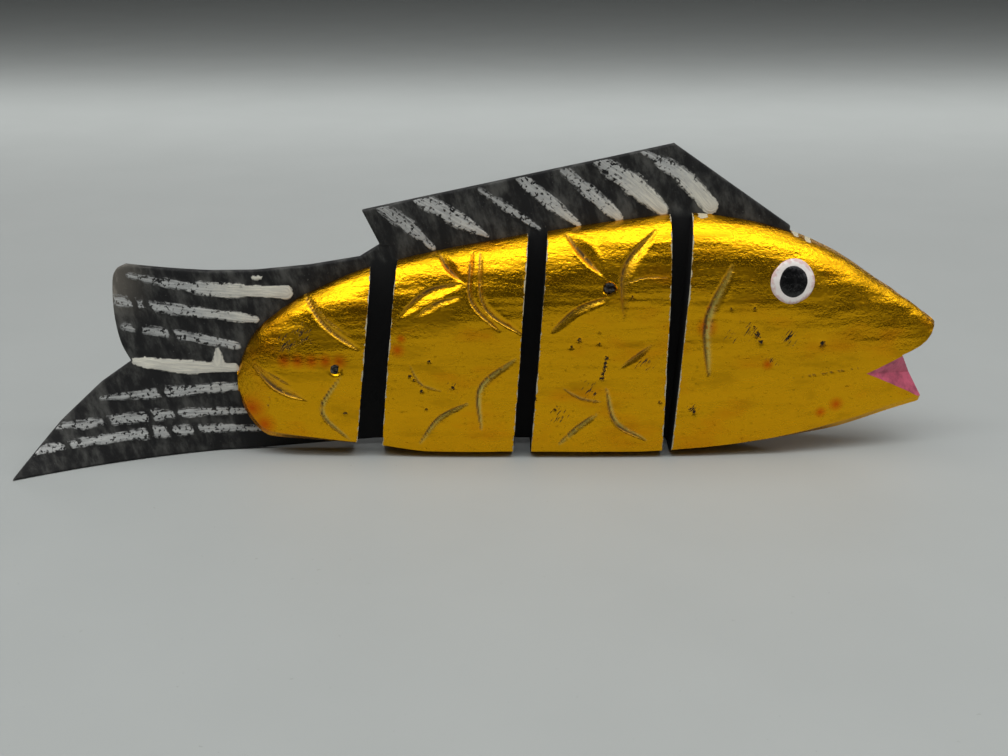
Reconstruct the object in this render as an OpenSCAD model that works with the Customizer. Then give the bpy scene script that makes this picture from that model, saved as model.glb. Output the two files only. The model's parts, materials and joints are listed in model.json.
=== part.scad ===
// Wiggling fish: four carved and gilded wooden blocks on one flexible rubber sheet.
// The sheet stands in the fish's centre plane. It is the back fin, the tail fin and
// every hinge. The head points to +X, the fish's left side is +Y, and it stands on z = 0.
// The origin is on the belly, under the middle of the middle block.

/* [Blocks] */
// Length of the middle block along the belly
middle_l = 34.4; // [28:0.2:42]
// Length of the rear block along the belly
rear_l = 34.4; // [28:0.2:42]
// Length of the tail block along the belly
tail_l = 29.9; // [24:0.1:36]
// Length of the head along the belly, up to the line of the lips
head_l = 63.6; // [53:0.1:77]
// Full thickness of the body at its thickest
body_w = 24.6; // [20:0.2:30]
// Full thickness at the blunt tip of the snout
snout_w = 6; // [4:0.2:8]
// Full thickness at the rounded end of the tail block
tail_end_w = 5.4; // [4:0.2:8]
// Height of the rounded shoulder between the side and the crest
shoulder_h = 22; // [14:0.5:26]
// Width of the flat strip of belly that the fish stands on
belly_flat_w = 11; // [8:0.5:14]

/* [Back line] */
// Height of the crest where the tail block's rounding begins
tail_end_h = 33.5; // [28:0.5:38]
// Height of the crest at the first gap, counted from the tail
peduncle_h = 49.2; // [42:0.5:56]
// Height of the crest at the middle gap
waist_h = 57.8; // [50:0.5:66]
// Height of the crest at the neck, its highest place
neck_h = 63; // [56:0.5:72]
// Height of the crest above the eye
brow_h = 58.6; // [50:0.5:66]
// Height of the snout's tip
snout_h = 34; // [30:0.5:40]

/* [Saw gaps] */
// Gap between tail block and rear block, along the belly
tail_gap = 7.5; // [5:0.1:9]
// Gap between rear block and middle block
waist_gap = 4.5; // [3.6:0.1:6]
// Gap between middle block and head, at the belly
neck_gap = 2.2; // [1.8:0.1:4]
// Lean of the first saw cut from upright, the tail block's front face
tail_front_lean = 6.2; // [4:0.1:8]
// Lean of the rear block's rear face
rear_rear_lean = 5.4; // [4:0.1:8]
// Lean of the rear block's front face
rear_front_lean = 3.8; // [2:0.1:6]
// Lean of the middle block's rear face
middle_rear_lean = 4; // [2:0.1:6]
// Lean of the middle block's front face
middle_front_lean = 0.7; // [0:0.1:2]
// Lean of the head's sawn face
head_lean = 3.6; // [2.4:0.1:5]

/* [Rubber sheet] */
// Thickness of the rubber
sheet_t = 2; // [1.6:0.1:2.6]
// Glue line between the rubber and each half block
glue = 0.05; // [0.02:0.01:0.1]
// How far the rubber's lower edge is above the table in the gaps
web_lift = 1.8; // [1:0.1:3]
// Height of the back fin's peak above the crest
fin_peak_rise = 17.4; // [12:0.2:22]
// Height of the back fin's rear corner above the crest
fin_rear_rise = 14.3; // [10:0.1:18]
// How far the rubber stands above the crest of the tail block
tail_margin = 2; // [1:0.2:4]
// Distance from the sawn face of the head to the front end of the back fin, at the belly
fin_in_head = 29; // [24:0.5:34]

/* [Tail fin] */
// Length of the lower lobe behind the flexing strip
lower_lobe_l = 51; // [42:0.5:60]
// Length of the upper lobe behind the flexing strip
upper_lobe_l = 25; // [20:0.5:30]
// Height of the upper corner of the tail fin
upper_lobe_h = 50.4; // [44:0.2:58]
// Length of the strip that flexes between tail block and tail fin
flex_l = 4; // [3:0.2:6]
// Angle to which the tail is set aside at rest
tail_set = 6; // [0:0.5:10]

/* [Eyes, mouth and nails] */
// Diameter of the white of the eye
eye_d = 11.2; // [9:0.2:13]
// Diameter of the pupil
pupil_d = 8.6; // [6:0.2:9.6]
// Height of the eye above the table
eye_h = 47.6; // [44:0.2:50]
// Distance from the head's sawn face to the eye, at the belly
eye_in_head = 28.6; // [26:0.2:34]
// Thickness of the paint of the eye
paint_t = 0.4; // [0.2:0.1:0.6]
// Height of the mouth's corner
mouth_h = 22.1; // [20:0.2:25]
// Length of the mouth from its corner to the line of the lips
mouth_l = 17.7; // [14.8:0.1:21.3]
// Diameter of a nail's shank
nail_d = 1.4; // [1:0.1:2]
// Diameter of a nail's head
nail_head_d = 2.8; // [2.2:0.1:3.6]
// Length of a nail
nail_l = 18; // [14:0.5:20]

/* [Hidden] */

gold = "goldenrod";
rubber = [0.14, 0.14, 0.15];

// A saw cut is its x on the table and its slope, so x = cut[0] + cut[1] * z.
middle_front = [middle_l / 2, tan(middle_front_lean)];
middle_rear = [-middle_l / 2, tan(middle_rear_lean)];
head_rear = [middle_front[0] + neck_gap, tan(head_lean)];
rear_front = [middle_rear[0] - waist_gap, tan(rear_front_lean)];
rear_rear = [rear_front[0] - rear_l, tan(rear_rear_lean)];
tail_front = [rear_rear[0] - tail_gap, tan(tail_front_lean)];
tail_end = [tail_front[0] - tail_l, 0];
lips_slope = 0.15;
lips = [head_rear[0] + head_l, lips_slope];
flex_behind = 1;
flex_front = [tail_end[0] - flex_behind, 0];
flex_rear = [flex_front[0] - flex_l, 0];
// The rubber's front end slants from the belly up to the front end of the back fin.
front_slant = 5;
fin_front = head_rear[0] + fin_in_head;
kerf_foot = fin_front - front_slant;

eye_x = head_rear[0] + eye_in_head;
mouth_x = cut_x(lips, mouth_h) - mouth_l;
// The tail's web leans, so it bends about an upright line through its middle.
tail_hinge_x = (cut_x(tail_front, peduncle_h / 2) + cut_x(rear_rear, peduncle_h / 2)) / 2;

// Smooth line through points that are in order of x, and held level past the ends
function hop(p, i) =
    let (a = p[max(i - 1, 0)], b = p[min(i + 1, len(p) - 1)]) (b[1] - a[1]) / (b[0] - a[0]);
function stretch(p, x, i = 0) = (i >= len(p) - 2 || x < p[i + 1][0]) ? i : stretch(p, x, i + 1);
function line_at(p, x) =
    let (
        i = stretch(p, x),
        w = p[i + 1][0] - p[i][0],
        t = min(max((x - p[i][0]) / w, 0), 1),
        rise = p[i + 1][1] - p[i][1]
    )
    p[i][1] + hop(p, i) * w * t * (1 - t) * (1 - t) + rise * t * t * (3 - 2 * t)
        - hop(p, i + 1) * w * t * t * (1 - t);
function mix(a, b, t) = a + (b - a) * t;

// Crest of the back, belly line and half thickness along the fish
crest_line = [
    [tail_end[0], tail_end_h - 4], [tail_end[0] + 7, tail_end_h + 1.2],
    [tail_end[0] + 17, tail_end_h + 8.3], [tail_front[0] + 5, peduncle_h],
    [middle_rear[0], waist_h], [head_rear[0] + 2, neck_h], [head_rear[0] + 16, neck_h - 1.4],
    [eye_x, brow_h], [eye_x + 15, brow_h - 7], [lips[0] + 5, snout_h]
];
belly_line = [
    [tail_end[0], 7], [tail_end[0] + 8, 5.4], [tail_front[0], 2.6], [rear_rear[0] + 12, 0],
    [middle_rear[0], 0], [middle_front[0] - 6, 0], [head_rear[0] + 15, 1.6],
    [head_rear[0] + 29, 3.8], [head_rear[0] + 43, 6.9], [lips[0], 12.8]
];
plan_line = [
    [tail_end[0], tail_end_w / 2], [tail_end[0] + 8, body_w / 2 - 5],
    [tail_end[0] + 17, body_w / 2 - 2.8], [tail_front[0], body_w / 2 - 1.1],
    [rear_front[0], body_w / 2], [middle_front[0], body_w / 2 - 0.3],
    [eye_x, body_w / 2 - 1.7], [eye_x + 15, body_w / 2 - 4],
    [lips[0] - 3, snout_w / 2 + 1.4], [lips[0] + 5, snout_w / 2]
];

// The tail block's end is rounded off over this length, about this height.
round_l = 8;
round_z = 20;
function rounding(x) = let (s = min(max((x - tail_end[0]) / round_l, 0.12), 1)) sqrt(1 - (1 - s) * (1 - s));
function crest_z(x) = round_z + (line_at(crest_line, x) - round_z) * rounding(x);
function belly_z(x) = round_z + (max(line_at(belly_line, x), 0) - round_z) * rounding(x);

// Upright section of one side: [share of the half thickness, height], belly to crest.
// A flat belly, a bevel up to the lower edge, an upright side and a rounded shoulder.
shoulder_steps = 9;
shoulder_power = 2;
bevel_h = 1.8;
function section(flat, low, high) =
    let (s = min(shoulder_h, (high - low) * 0.45), h = high - low)
    concat(
        [[0, low], [flat, low], [0.9, low + min(bevel_h, h * 0.15)]],
        [[0.97, low + h * 0.2], [1, low + h * 0.4]],
        [for (i = [0:shoulder_steps]) let (a = 90 * i / shoulder_steps)
            [pow(max(cos(a), 0), 2 / shoulder_power), high - s + s * pow(sin(a), 2 / shoulder_power)]]
    );

// One ring of the body: the section in the plane between two saw cuts, at share t
function cut_between(a, b, t) = [mix(a[0], b[0], t), mix(a[1], b[1], t)];
function cut_x(cut, z) = cut[0] + cut[1] * z;
function ring(cut, inner, grow) =
    let (
        high = crest_z(cut_x(cut, crest_z(cut_x(cut, waist_h)))),
        low = belly_z(cut_x(cut, 0)),
        half_w = line_at(plan_line, cut_x(cut, high / 2)) + grow
    )
    [for (p = section(min(belly_flat_w / 2 / half_w, 0.7), low, high))
        [cut_x(cut, p[1]), inner + (half_w - inner) * p[0], p[1]]];
function both_sides(half) = concat(
    [for (i = [1:len(half) - 1]) half[i]],
    [for (i = [len(half) - 2:-1:1]) [half[i][0], -half[i][1], half[i][2]]]
);

// Skin over a row of rings that have the same number of points each. Each end is
// closed by a ladder of triangles across the ring.
function ladder(n) = concat(
    [for (j = [0:floor(n / 2) - 1]) if (j + 1 < n - 1 - j) [j, j + 1, n - 1 - j]],
    [for (j = [0:floor(n / 2) - 1]) if (j + 1 < n - 2 - j) [j + 1, n - 2 - j, n - 1 - j]]
);
module loft(rings) {
    n = len(rings[0]);
    last = len(rings) - 1;
    polyhedron(
        points = [for (r = rings) for (p = r) p],
        faces = concat(
            [for (i = [0:last - 1]) for (j = [0:n - 1])
                [(i + 1) * n + (j + 1) % n, i * n + (j + 1) % n, i * n + j]],
            [for (i = [0:last - 1]) for (j = [0:n - 1])
                [(i + 1) * n + j, (i + 1) * n + (j + 1) % n, i * n + j]],
            ladder(n),
            [for (t = ladder(n)) [last * n + t[2], last * n + t[1], last * n + t[0]]]
        ),
        convexity = 4
    );
}

// Left half of a block from saw cut a to saw cut b, closed along the glue line
half_steps = 10;
module left_half(a, b, power = 1) {
    loft([for (i = [0:half_steps])
        ring(cut_between(a, b, pow(i / half_steps, power)), sheet_t / 2 + glue, 0)]);
}

// The whole head, before kerf and mouth, and thicker by grow for the coats of paint
head_steps = 20;
module head_form(grow = 0) {
    loft([for (i = [0:head_steps]) both_sides(ring(cut_between(head_rear, lips, i / head_steps), 0, grow))]);
}

// Mouth: a notch right through at the lips, and a gouge from each side to the corner
notch_apex = [mouth_x + 10.3, mouth_h + 4.2];
notch_reach = 30;
upper_lip_angle = 33;
lower_lip_angle = -62;
module mouth_notch() {
    upper = [cos(upper_lip_angle), sin(upper_lip_angle)];
    lower = [cos(lower_lip_angle), sin(lower_lip_angle)];
    rotate([90, 0, 0])
        linear_extrude(body_w, center = true)
            polygon([notch_apex, notch_apex + notch_reach * upper, notch_apex + notch_reach * lower]);
}
// The gouge is a wedge of four points. It widens from the corner past the lips.
gouge_reach = 21.6;
gouge_up = 31;
gouge_down = 29;
crease_drop = 2.6;
module mouth_gouge() {
    corner = [mouth_x, line_at(plan_line, mouth_x) + 0.1, mouth_h];
    far = mouth_x + gouge_reach;
    crease = [far, -snout_w / 2, mouth_h - crease_drop];
    roof = [far, body_w / 2, mouth_h + gouge_up];
    floor_end = [far, body_w / 2, mouth_h - gouge_down];
    polyhedron(
        points = [corner, crease, roof, floor_end],
        faces = [[0, 2, 1], [0, 1, 3], [0, 3, 2], [1, 2, 3]]
    );
}

// Kerf for the rubber, from the sawn face to a slanting end inside the head
kerf_past = 0.4;
module kerf() {
    past = 30;
    rotate([90, 0, 0])
        linear_extrude(sheet_t + 2 * glue, center = true)
            polygon([
                [head_rear[0] - past, -past], [kerf_foot + kerf_past, -past],
                [kerf_foot + kerf_past, 0], [fin_front + kerf_past, brow_h],
                [fin_front + kerf_past, neck_h + past], [head_rear[0] - past, neck_h + past]
            ]);
}

module head_block() {
    color(gold)
        difference() {
            head_form();
            kerf();
            mouth_notch();
            mouth_gouge();
            mirror([0, 1, 0]) mouth_gouge();
        }
}

// Nails are driven from the right side, through the rubber, into the left half.
nail_fit = 0.05;
// Along the fish, height, and how deep its head is below the thickest part of the side
middle_nail_at = [2.4, 46.2, 1.5];
tail_nail_at = [-68, 24.7, 0.5];
module nail(at, grow = 0) {
    y = -line_at(plan_line, at[0]);
    head_t = 0.6;
    sunk = at[2];
    translate([at[0], y + sunk - grow, at[1]])
        rotate([-90, 0, 0]) {
            cylinder(h = head_t + 2 * grow, d = nail_head_d + 2 * grow, $fn = 32);
            cylinder(h = nail_l + 2 * grow, d = nail_d + 2 * grow, $fn = 32);
        }
    if (grow > 0)
        translate([at[0], y + sunk, at[1]])
            rotate([90, 0, 0])
                cylinder(h = sunk + 2, d = nail_head_d + 2 * grow, $fn = 32);
}

module middle_block_left() {
    color(gold)
        difference() {
            left_half(middle_rear, middle_front);
            nail(middle_nail_at, nail_fit);
        }
}
module middle_block_right() {
    color(gold)
        difference() {
            mirror([0, 1, 0]) left_half(middle_rear, middle_front);
            nail(middle_nail_at, nail_fit);
        }
}
module rear_block_left() {
    color(gold) left_half(rear_rear, rear_front);
}
module rear_block_right() {
    color(gold) mirror([0, 1, 0]) left_half(rear_rear, rear_front);
}

// Everything behind the first gap is set a little to the right side at rest.
module set_tail() {
    translate([tail_hinge_x, 0, 0]) rotate([0, 0, tail_set]) translate([-tail_hinge_x, 0, 0]) children();
}
end_packing = 2;
module tail_block_left() {
    color(gold)
        set_tail()
            difference() {
                left_half(tail_end, tail_front, end_packing);
                nail(tail_nail_at, nail_fit);
            }
}
module tail_block_right() {
    color(gold)
        set_tail()
            difference() {
                mirror([0, 1, 0]) left_half(tail_end, tail_front, end_packing);
                nail(tail_nail_at, nail_fit);
            }
}

// Outline of the rubber sheet in the centre plane, from the tail strip to the head.
// Under the blocks its lower edge follows the belly.
fin_rear_x = tail_front[0] + 3.8;
fin_notch = [fin_rear_x + 4.3, peduncle_h + 5.4];
fin_peak_x = head_rear[0] - 1;
belly_step = 4;
function sheet_outline() = concat(
    [[flex_rear[0], 0.2], [tail_end[0] + 18, 0.6], [tail_front[0], 1.5]],
    [for (x = [rear_rear[0]:belly_step:kerf_foot]) [x, belly_z(x)]],
    [
        [kerf_foot, belly_z(kerf_foot)], [fin_front, brow_h - 2], [fin_front, brow_h + 1],
        [fin_peak_x, neck_h + fin_peak_rise], [fin_rear_x, peduncle_h + fin_rear_rise], fin_notch,
        [fin_rear_x - 1, peduncle_h + 2.2], [tail_end[0] + 20, peduncle_h - 1.6 + tail_margin],
        [flex_rear[0], upper_lobe_h - 1.6]
    ]
);
// The stretch of sheet from cut a to cut b, between two heights
sheet_top = 120;
module sheet_between(a, b, above = -1, below = sheet_top) {
    rotate([90, 0, 0])
        linear_extrude(sheet_t, center = true)
            intersection() {
                polygon(sheet_outline());
                polygon([
                    [cut_x(a, above), above], [cut_x(b, above), above],
                    [cut_x(b, below), below], [cut_x(a, below), below]
                ]);
            }
}
// The free rear corner of the back fin overhangs the first gap and stays with the
// rear block, so the tail's rubber and its web end below the notch under that corner.
beyond_head = [fin_front + 1, 0];
module head_rubber() {
    color(rubber) sheet_between(head_rear, beyond_head);
}
module middle_rubber() {
    color(rubber)
        difference() {
            sheet_between(middle_rear, middle_front);
            nail(middle_nail_at, nail_fit);
        }
}
module rear_rubber() {
    color(rubber) {
        sheet_between(rear_rear, rear_front);
        sheet_between([fin_rear_x - 1, 0], rear_front, fin_notch[1]);
    }
}
module tail_rubber() {
    color(rubber)
        set_tail()
            difference() {
                sheet_between(flex_front, tail_front, -1, fin_notch[1]);
                nail(tail_nail_at, nail_fit);
            }
}
module neck_web() {
    color(rubber) sheet_between(middle_front, head_rear, web_lift);
}
module waist_web() {
    color(rubber) sheet_between(rear_front, middle_rear, web_lift);
}
// The tail's web stops short of the tail's own rubber, which is set at an angle.
set_room = 0.3;
module tail_web() {
    color(rubber)
        sheet_between([tail_front[0] + set_room, tail_front[1]], rear_rear, web_lift, fin_notch[1]);
}
module fin_web() {
    color(rubber) set_tail() sheet_between(flex_rear, flex_front);
}

// Tail fin: rows of points from its root to its trailing edge, lowest row first.
// The lower lobe bends to the right side and the upper corner bends to the left.
root_x = flex_rear[0];
trailing_edge = [
    [root_x - lower_lobe_l, 0.2], [root_x - lower_lobe_l + 11, 11.6],
    [root_x - lower_lobe_l + 21.6, 20.6], [root_x - upper_lobe_l + 3.6, 25.8],
    [root_x - upper_lobe_l + 1.6, 31], [root_x - upper_lobe_l, 38],
    [root_x - upper_lobe_l, upper_lobe_h - 5.6], [root_x - upper_lobe_l + 2.6, upper_lobe_h]
];
lower_slope = 0.14;
lower_curl = 0.0031;
upper_curl = 0.006;
function bend_y(x, z) =
    let (d = root_x - x, v = min(z / upper_lobe_h, 1))
    upper_curl * d * d * v - (lower_slope * d + lower_curl * d * d) * (1 - v);
fin_steps = 12;
function fin_point(row, i, side) =
    let (
        last = len(trailing_edge) - 1,
        foot = [root_x, mix(0.2, upper_lobe_h - 1.6, row / last)],
        p = mix(foot, trailing_edge[row], i / fin_steps)
    )
    [p[0], bend_y(p[0], p[1]) + side * sheet_t / 2, p[1]];
module tail_fin() {
    last = len(trailing_edge) - 1;
    color(rubber)
        set_tail()
            loft([for (i = [fin_steps:-1:0]) concat(
                [for (row = [0:last]) fin_point(row, i, 1)],
                [for (row = [last:-1:0]) fin_point(row, i, -1)]
            )]);
}

// Eyes: raised spots of paint that follow the side of the head
module eye_spot(d, t) {
    difference() {
        intersection() {
            head_form(t);
            translate([eye_x, 0, eye_h]) rotate([-90, 0, 0]) cylinder(h = body_w, d = d, $fn = 48);
        }
        head_form();
    }
}
pupil_extra = 0.2;
module pupil_left() {
    color("black") eye_spot(pupil_d, paint_t + pupil_extra);
}
module pupil_right() {
    color("black") mirror([0, 1, 0]) eye_spot(pupil_d, paint_t + pupil_extra);
}
module eye_white_left() {
    color("white")
        difference() {
            eye_spot(eye_d, paint_t);
            translate([eye_x, 0, eye_h]) rotate([-90, 0, 0]) cylinder(h = body_w, d = pupil_d, $fn = 48);
        }
}
module eye_white_right() {
    color("white")
        difference() {
            mirror([0, 1, 0]) eye_spot(eye_d, paint_t);
            translate([eye_x, 0, eye_h]) rotate([90, 0, 0]) cylinder(h = body_w, d = pupil_d, $fn = 48);
        }
}

module middle_nail() {
    color("dimgray") nail(middle_nail_at);
}
module tail_nail() {
    color("dimgray") set_tail() nail(tail_nail_at);
}

head_block();
middle_block_right();
middle_block_left();
rear_block_right();
rear_block_left();
tail_block_right();
tail_block_left();
head_rubber();
middle_rubber();
rear_rubber();
tail_rubber();
tail_fin();
neck_web();
waist_web();
tail_web();
fin_web();
eye_white_right();
eye_white_left();
pupil_right();
pupil_left();
middle_nail();
tail_nail();
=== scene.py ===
import json
import math
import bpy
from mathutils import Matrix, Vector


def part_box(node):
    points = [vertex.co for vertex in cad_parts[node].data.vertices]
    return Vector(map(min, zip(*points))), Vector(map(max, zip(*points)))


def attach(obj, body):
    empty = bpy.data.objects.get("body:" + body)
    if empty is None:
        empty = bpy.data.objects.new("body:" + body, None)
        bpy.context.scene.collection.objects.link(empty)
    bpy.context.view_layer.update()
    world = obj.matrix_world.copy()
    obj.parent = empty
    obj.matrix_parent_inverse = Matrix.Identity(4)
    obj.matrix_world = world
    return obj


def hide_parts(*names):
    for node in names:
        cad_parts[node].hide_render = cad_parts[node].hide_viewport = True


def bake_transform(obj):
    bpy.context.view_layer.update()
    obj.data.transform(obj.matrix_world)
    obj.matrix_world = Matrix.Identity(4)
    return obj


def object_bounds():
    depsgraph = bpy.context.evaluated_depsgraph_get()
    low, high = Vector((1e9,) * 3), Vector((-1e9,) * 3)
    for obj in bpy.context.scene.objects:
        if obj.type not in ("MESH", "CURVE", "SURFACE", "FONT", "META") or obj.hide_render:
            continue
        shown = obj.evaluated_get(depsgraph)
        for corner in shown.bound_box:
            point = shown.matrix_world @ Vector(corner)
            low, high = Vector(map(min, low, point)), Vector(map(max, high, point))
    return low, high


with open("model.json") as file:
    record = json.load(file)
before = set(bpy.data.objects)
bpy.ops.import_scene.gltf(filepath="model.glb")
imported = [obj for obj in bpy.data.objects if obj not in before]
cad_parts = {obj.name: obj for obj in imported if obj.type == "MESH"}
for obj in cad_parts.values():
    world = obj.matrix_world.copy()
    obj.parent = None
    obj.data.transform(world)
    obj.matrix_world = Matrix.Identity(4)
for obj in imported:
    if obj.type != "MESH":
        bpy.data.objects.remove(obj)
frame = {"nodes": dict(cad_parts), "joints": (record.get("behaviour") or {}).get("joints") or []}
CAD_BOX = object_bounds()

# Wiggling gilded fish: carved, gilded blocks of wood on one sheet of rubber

from types import SimpleNamespace

import bmesh
import bpy
import numpy as np
from bpy.props import FloatProperty, FloatVectorProperty, PointerProperty
from mathutils import Vector, geometry

bl_info = {
    "name": "Wiggling Gilded Fish",
    "version": (1, 0, 0),
    "blender": (4, 5, 0),
    "location": "View3D > Sidebar > Fish",
    "description": "Builds the looks of a wiggling wooden fish around its CAD frame",
    "category": "Object",
}

MM = 0.001


# ---------------------------------------------------------------- sizes and colours

def linear(code):
    """An sRGB hex colour as linear RGBA"""
    parts = [int(code[i:i + 2], 16) / 255 for i in (1, 3, 5)]
    return tuple(c / 12.92 if c <= 0.04045 else ((c + 0.055) / 1.055) ** 2.4 for c in parts) + (1.0,)


def length(name, description, default):
    """A property that holds a length in metres"""
    return FloatProperty(
        name=name, description=description, default=default, min=0, unit="LENGTH", precision=5)


def colour(name, description, code):
    """A property that holds a colour"""
    return FloatVectorProperty(
        name=name, description=description, default=linear(code), size=4, min=0, max=1,
        subtype="COLOR")


class FishSizes(bpy.types.PropertyGroup):
    """Sizes of the carved body, its tool marks, the rubber's edge and the paint"""
    body_w: length("Body width", "Full thickness of the body at its thickest", 0.0246)
    snout_w: length("Snout width", "Full thickness at the blunt tip of the snout", 0.006)
    tail_end_w: length("Tail end width", "Full thickness at the tail block's end", 0.0054)
    shoulder_h: length("Shoulder", "Height of the rounding between side and crest", 0.022)
    belly_flat_w: length("Belly flat", "Width of the flat strip of belly", 0.011)
    tail_end_h: length("Tail end", "Crest where the tail block's rounding begins", 0.0335)
    peduncle_h: length("Peduncle", "Crest at the gap behind the rear block", 0.0492)
    waist_h: length("Waist", "Crest at the middle gap", 0.0578)
    neck_h: length("Neck", "Crest at the neck, its highest place", 0.063)
    brow_h: length("Brow", "Crest above the eye", 0.0586)
    snout_h: length("Snout", "Height of the snout's tip", 0.034)
    mouth_h: length("Mouth", "Height of the mouth's corner", 0.0221)
    mouth_l: length("Mouth length", "From the mouth's corner to the line of the lips", 0.0177)
    skin_step: length("Skin step", "Spacing of the points of the carved skin", 0.0004)
    sheet_step: length("Sheet step", "Spacing of the points of the rubber sheet", 0.0006)
    knife_wave: length("Knife wave", "Depth of the broad hollows that the knife left", 0.00022)
    knife_streak: length("Knife streak", "Depth of the long narrow facets", 0.00006)
    saw_wander: length("Saw wander", "How far the saw strayed from its line", 0.00018)
    edge_wear: length("Edge wear", "Width of the pale chipped line along a saw cut", 0.0003)
    paint_t: length("Eye paint", "Thickness of the white of the eye", 0.0004)
    eye_d: length("Eye", "Diameter of the white of the eye", 0.0112)
    pupil_d: length("Pupil", "Diameter of the pupil", 0.0086)
    stroke_t: length("Stroke relief", "Thickness of the white brush strokes", 0.00012)
    lip_round: length("Lip rounding", "Radius of the rounding at the tip of the upper lip", 0.0012)
    sheet_edge: length("Sheet edge", "Bevel along the rubber's cut edge", 0.00018)


class FishColours(bpy.types.PropertyGroup):
    """Colours of the foil, the rubber and the paints"""
    gold: colour("Gold", "Gold foil", "#EAAC12")
    red_gold: colour("Red gold", "Foil where red ground shows through", "#DC600A")
    pale_gold: colour("Pale gold", "Foil that the gouge stretched thin", "#D8C562")
    ground: colour("Ground", "Pale ground that shows where foil has chipped off", "#C6BC9E")
    pitch: colour("Pitch", "Dirt and bare wood in pits", "#1A1206")
    sawn_black: colour("Sawn black", "Black paint on the sawn faces", "#070707")
    rubber: colour("Rubber", "Inner-tube rubber", "#131314")
    rubber_dust: colour("Rubber dust", "Talc and wear on the rubber", "#656561")
    white: colour("White", "White of the brush strokes", "#F2EEDE")
    thin_white: colour("Thin white", "White where it is brushed out thin", "#CBCCC9")
    eye_white: colour("Eye white", "White of the eye", "#EDE6E0")
    eye_pink: colour("Eye pink", "Pink worked into the white of the eye", "#DDBDB8")
    pupil: colour("Pupil", "Black of the pupil", "#0B0B0C")
    mouth: colour("Mouth", "Pink of the mouth", "#D8657F")
    mouth_dark: colour("Mouth shade", "Pink where it is thin", "#A94B62")
    steel: colour("Steel", "Nail steel", "#6A6660")
    floor: colour("Floor", "Table top", "#A9ADAB")


def mm(metres):
    """Metres as millimetres"""
    return metres / MM


# ---------------------------------------------------------------- materials

def material(name):
    """A new material with a lone Principled shader. Returns material, tree, shader"""
    made = bpy.data.materials.new(name)
    made.use_nodes = True
    tree = made.node_tree
    return made, tree, tree.nodes["Principled BSDF"]


def add(tree, kind, settings=None, **links):
    """Adds a node. Settings are its own fields, and links go to its inputs: a value or a socket"""
    node = tree.nodes.new(kind)
    for key, value in (settings or {}).items():
        setattr(node, key, value)
    for key, value in links.items():
        socket = node.inputs[int(key[1:])] if key[0] == "i" and key[1:].isdigit() else node.inputs[key]
        if isinstance(value, bpy.types.NodeSocket):
            tree.links.new(value, socket)
        else:
            socket.default_value = value
    return node


def pattern(tree, size_mm, detail=3.0, stretch=(1, 1, 1), rough=0.55, at=(0, 0, 0), turn=(0, 0, 0)):
    """Noise whose lumps have the given size in mm, drawn out along turned axes by stretch"""
    place = add(tree, "ShaderNodeTexCoord").outputs["Object"]
    mapped = add(tree, "ShaderNodeMapping", {"vector_type": "TEXTURE"}, i0=place, i1=at, i2=turn, i3=stretch)
    return add(tree, "ShaderNodeTexNoise", i0=mapped.outputs[0], Scale=1 / (size_mm * MM),
               Detail=detail, Roughness=rough).outputs["Fac"]


def ramp(tree, value, low, high, start=0.0, end=1.0):
    """A value's stretch from low to high as a smooth step from start to end"""
    step = add(tree, "ShaderNodeMapRange", {"interpolation_type": "SMOOTHSTEP"})
    tree.links.new(value, step.inputs[0])
    for i, number in enumerate((low, high, start, end)):
        step.inputs[i + 1].default_value = number
    return step.outputs[0]


def math_node(tree, operation, a, b=0.0):
    """One arithmetic step"""
    return add(tree, "ShaderNodeMath", {"operation": operation}, i0=a, i1=b).outputs[0]


def blend_colour(tree, share, a, b):
    """Colour a where share is 0 and b where it is 1"""
    node = add(tree, "ShaderNodeMix", {"data_type": "RGBA"})
    for socket, value in ((0, share), (6, a), (7, b)):
        if isinstance(value, bpy.types.NodeSocket):
            tree.links.new(value, node.inputs[socket])
        else:
            node.inputs[socket].default_value = value
    return node.outputs[2]


def mask(tree, name):
    """A value that a piece's mesh holds at each point"""
    return add(tree, "ShaderNodeAttribute", {"attribute_name": name}).outputs["Fac"]


def bump(tree, shader, height, depth_mm, normal=None, strength=1.0):
    """Relief of the given depth in mm. Returns its normal"""
    links = {"Height": height, "Strength": strength, "Distance": depth_mm * MM}
    if normal is not None:
        links["Normal"] = normal
    made = add(tree, "ShaderNodeBump", **links).outputs[0]
    tree.links.new(made, shader.inputs["Normal"])
    return made


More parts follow.
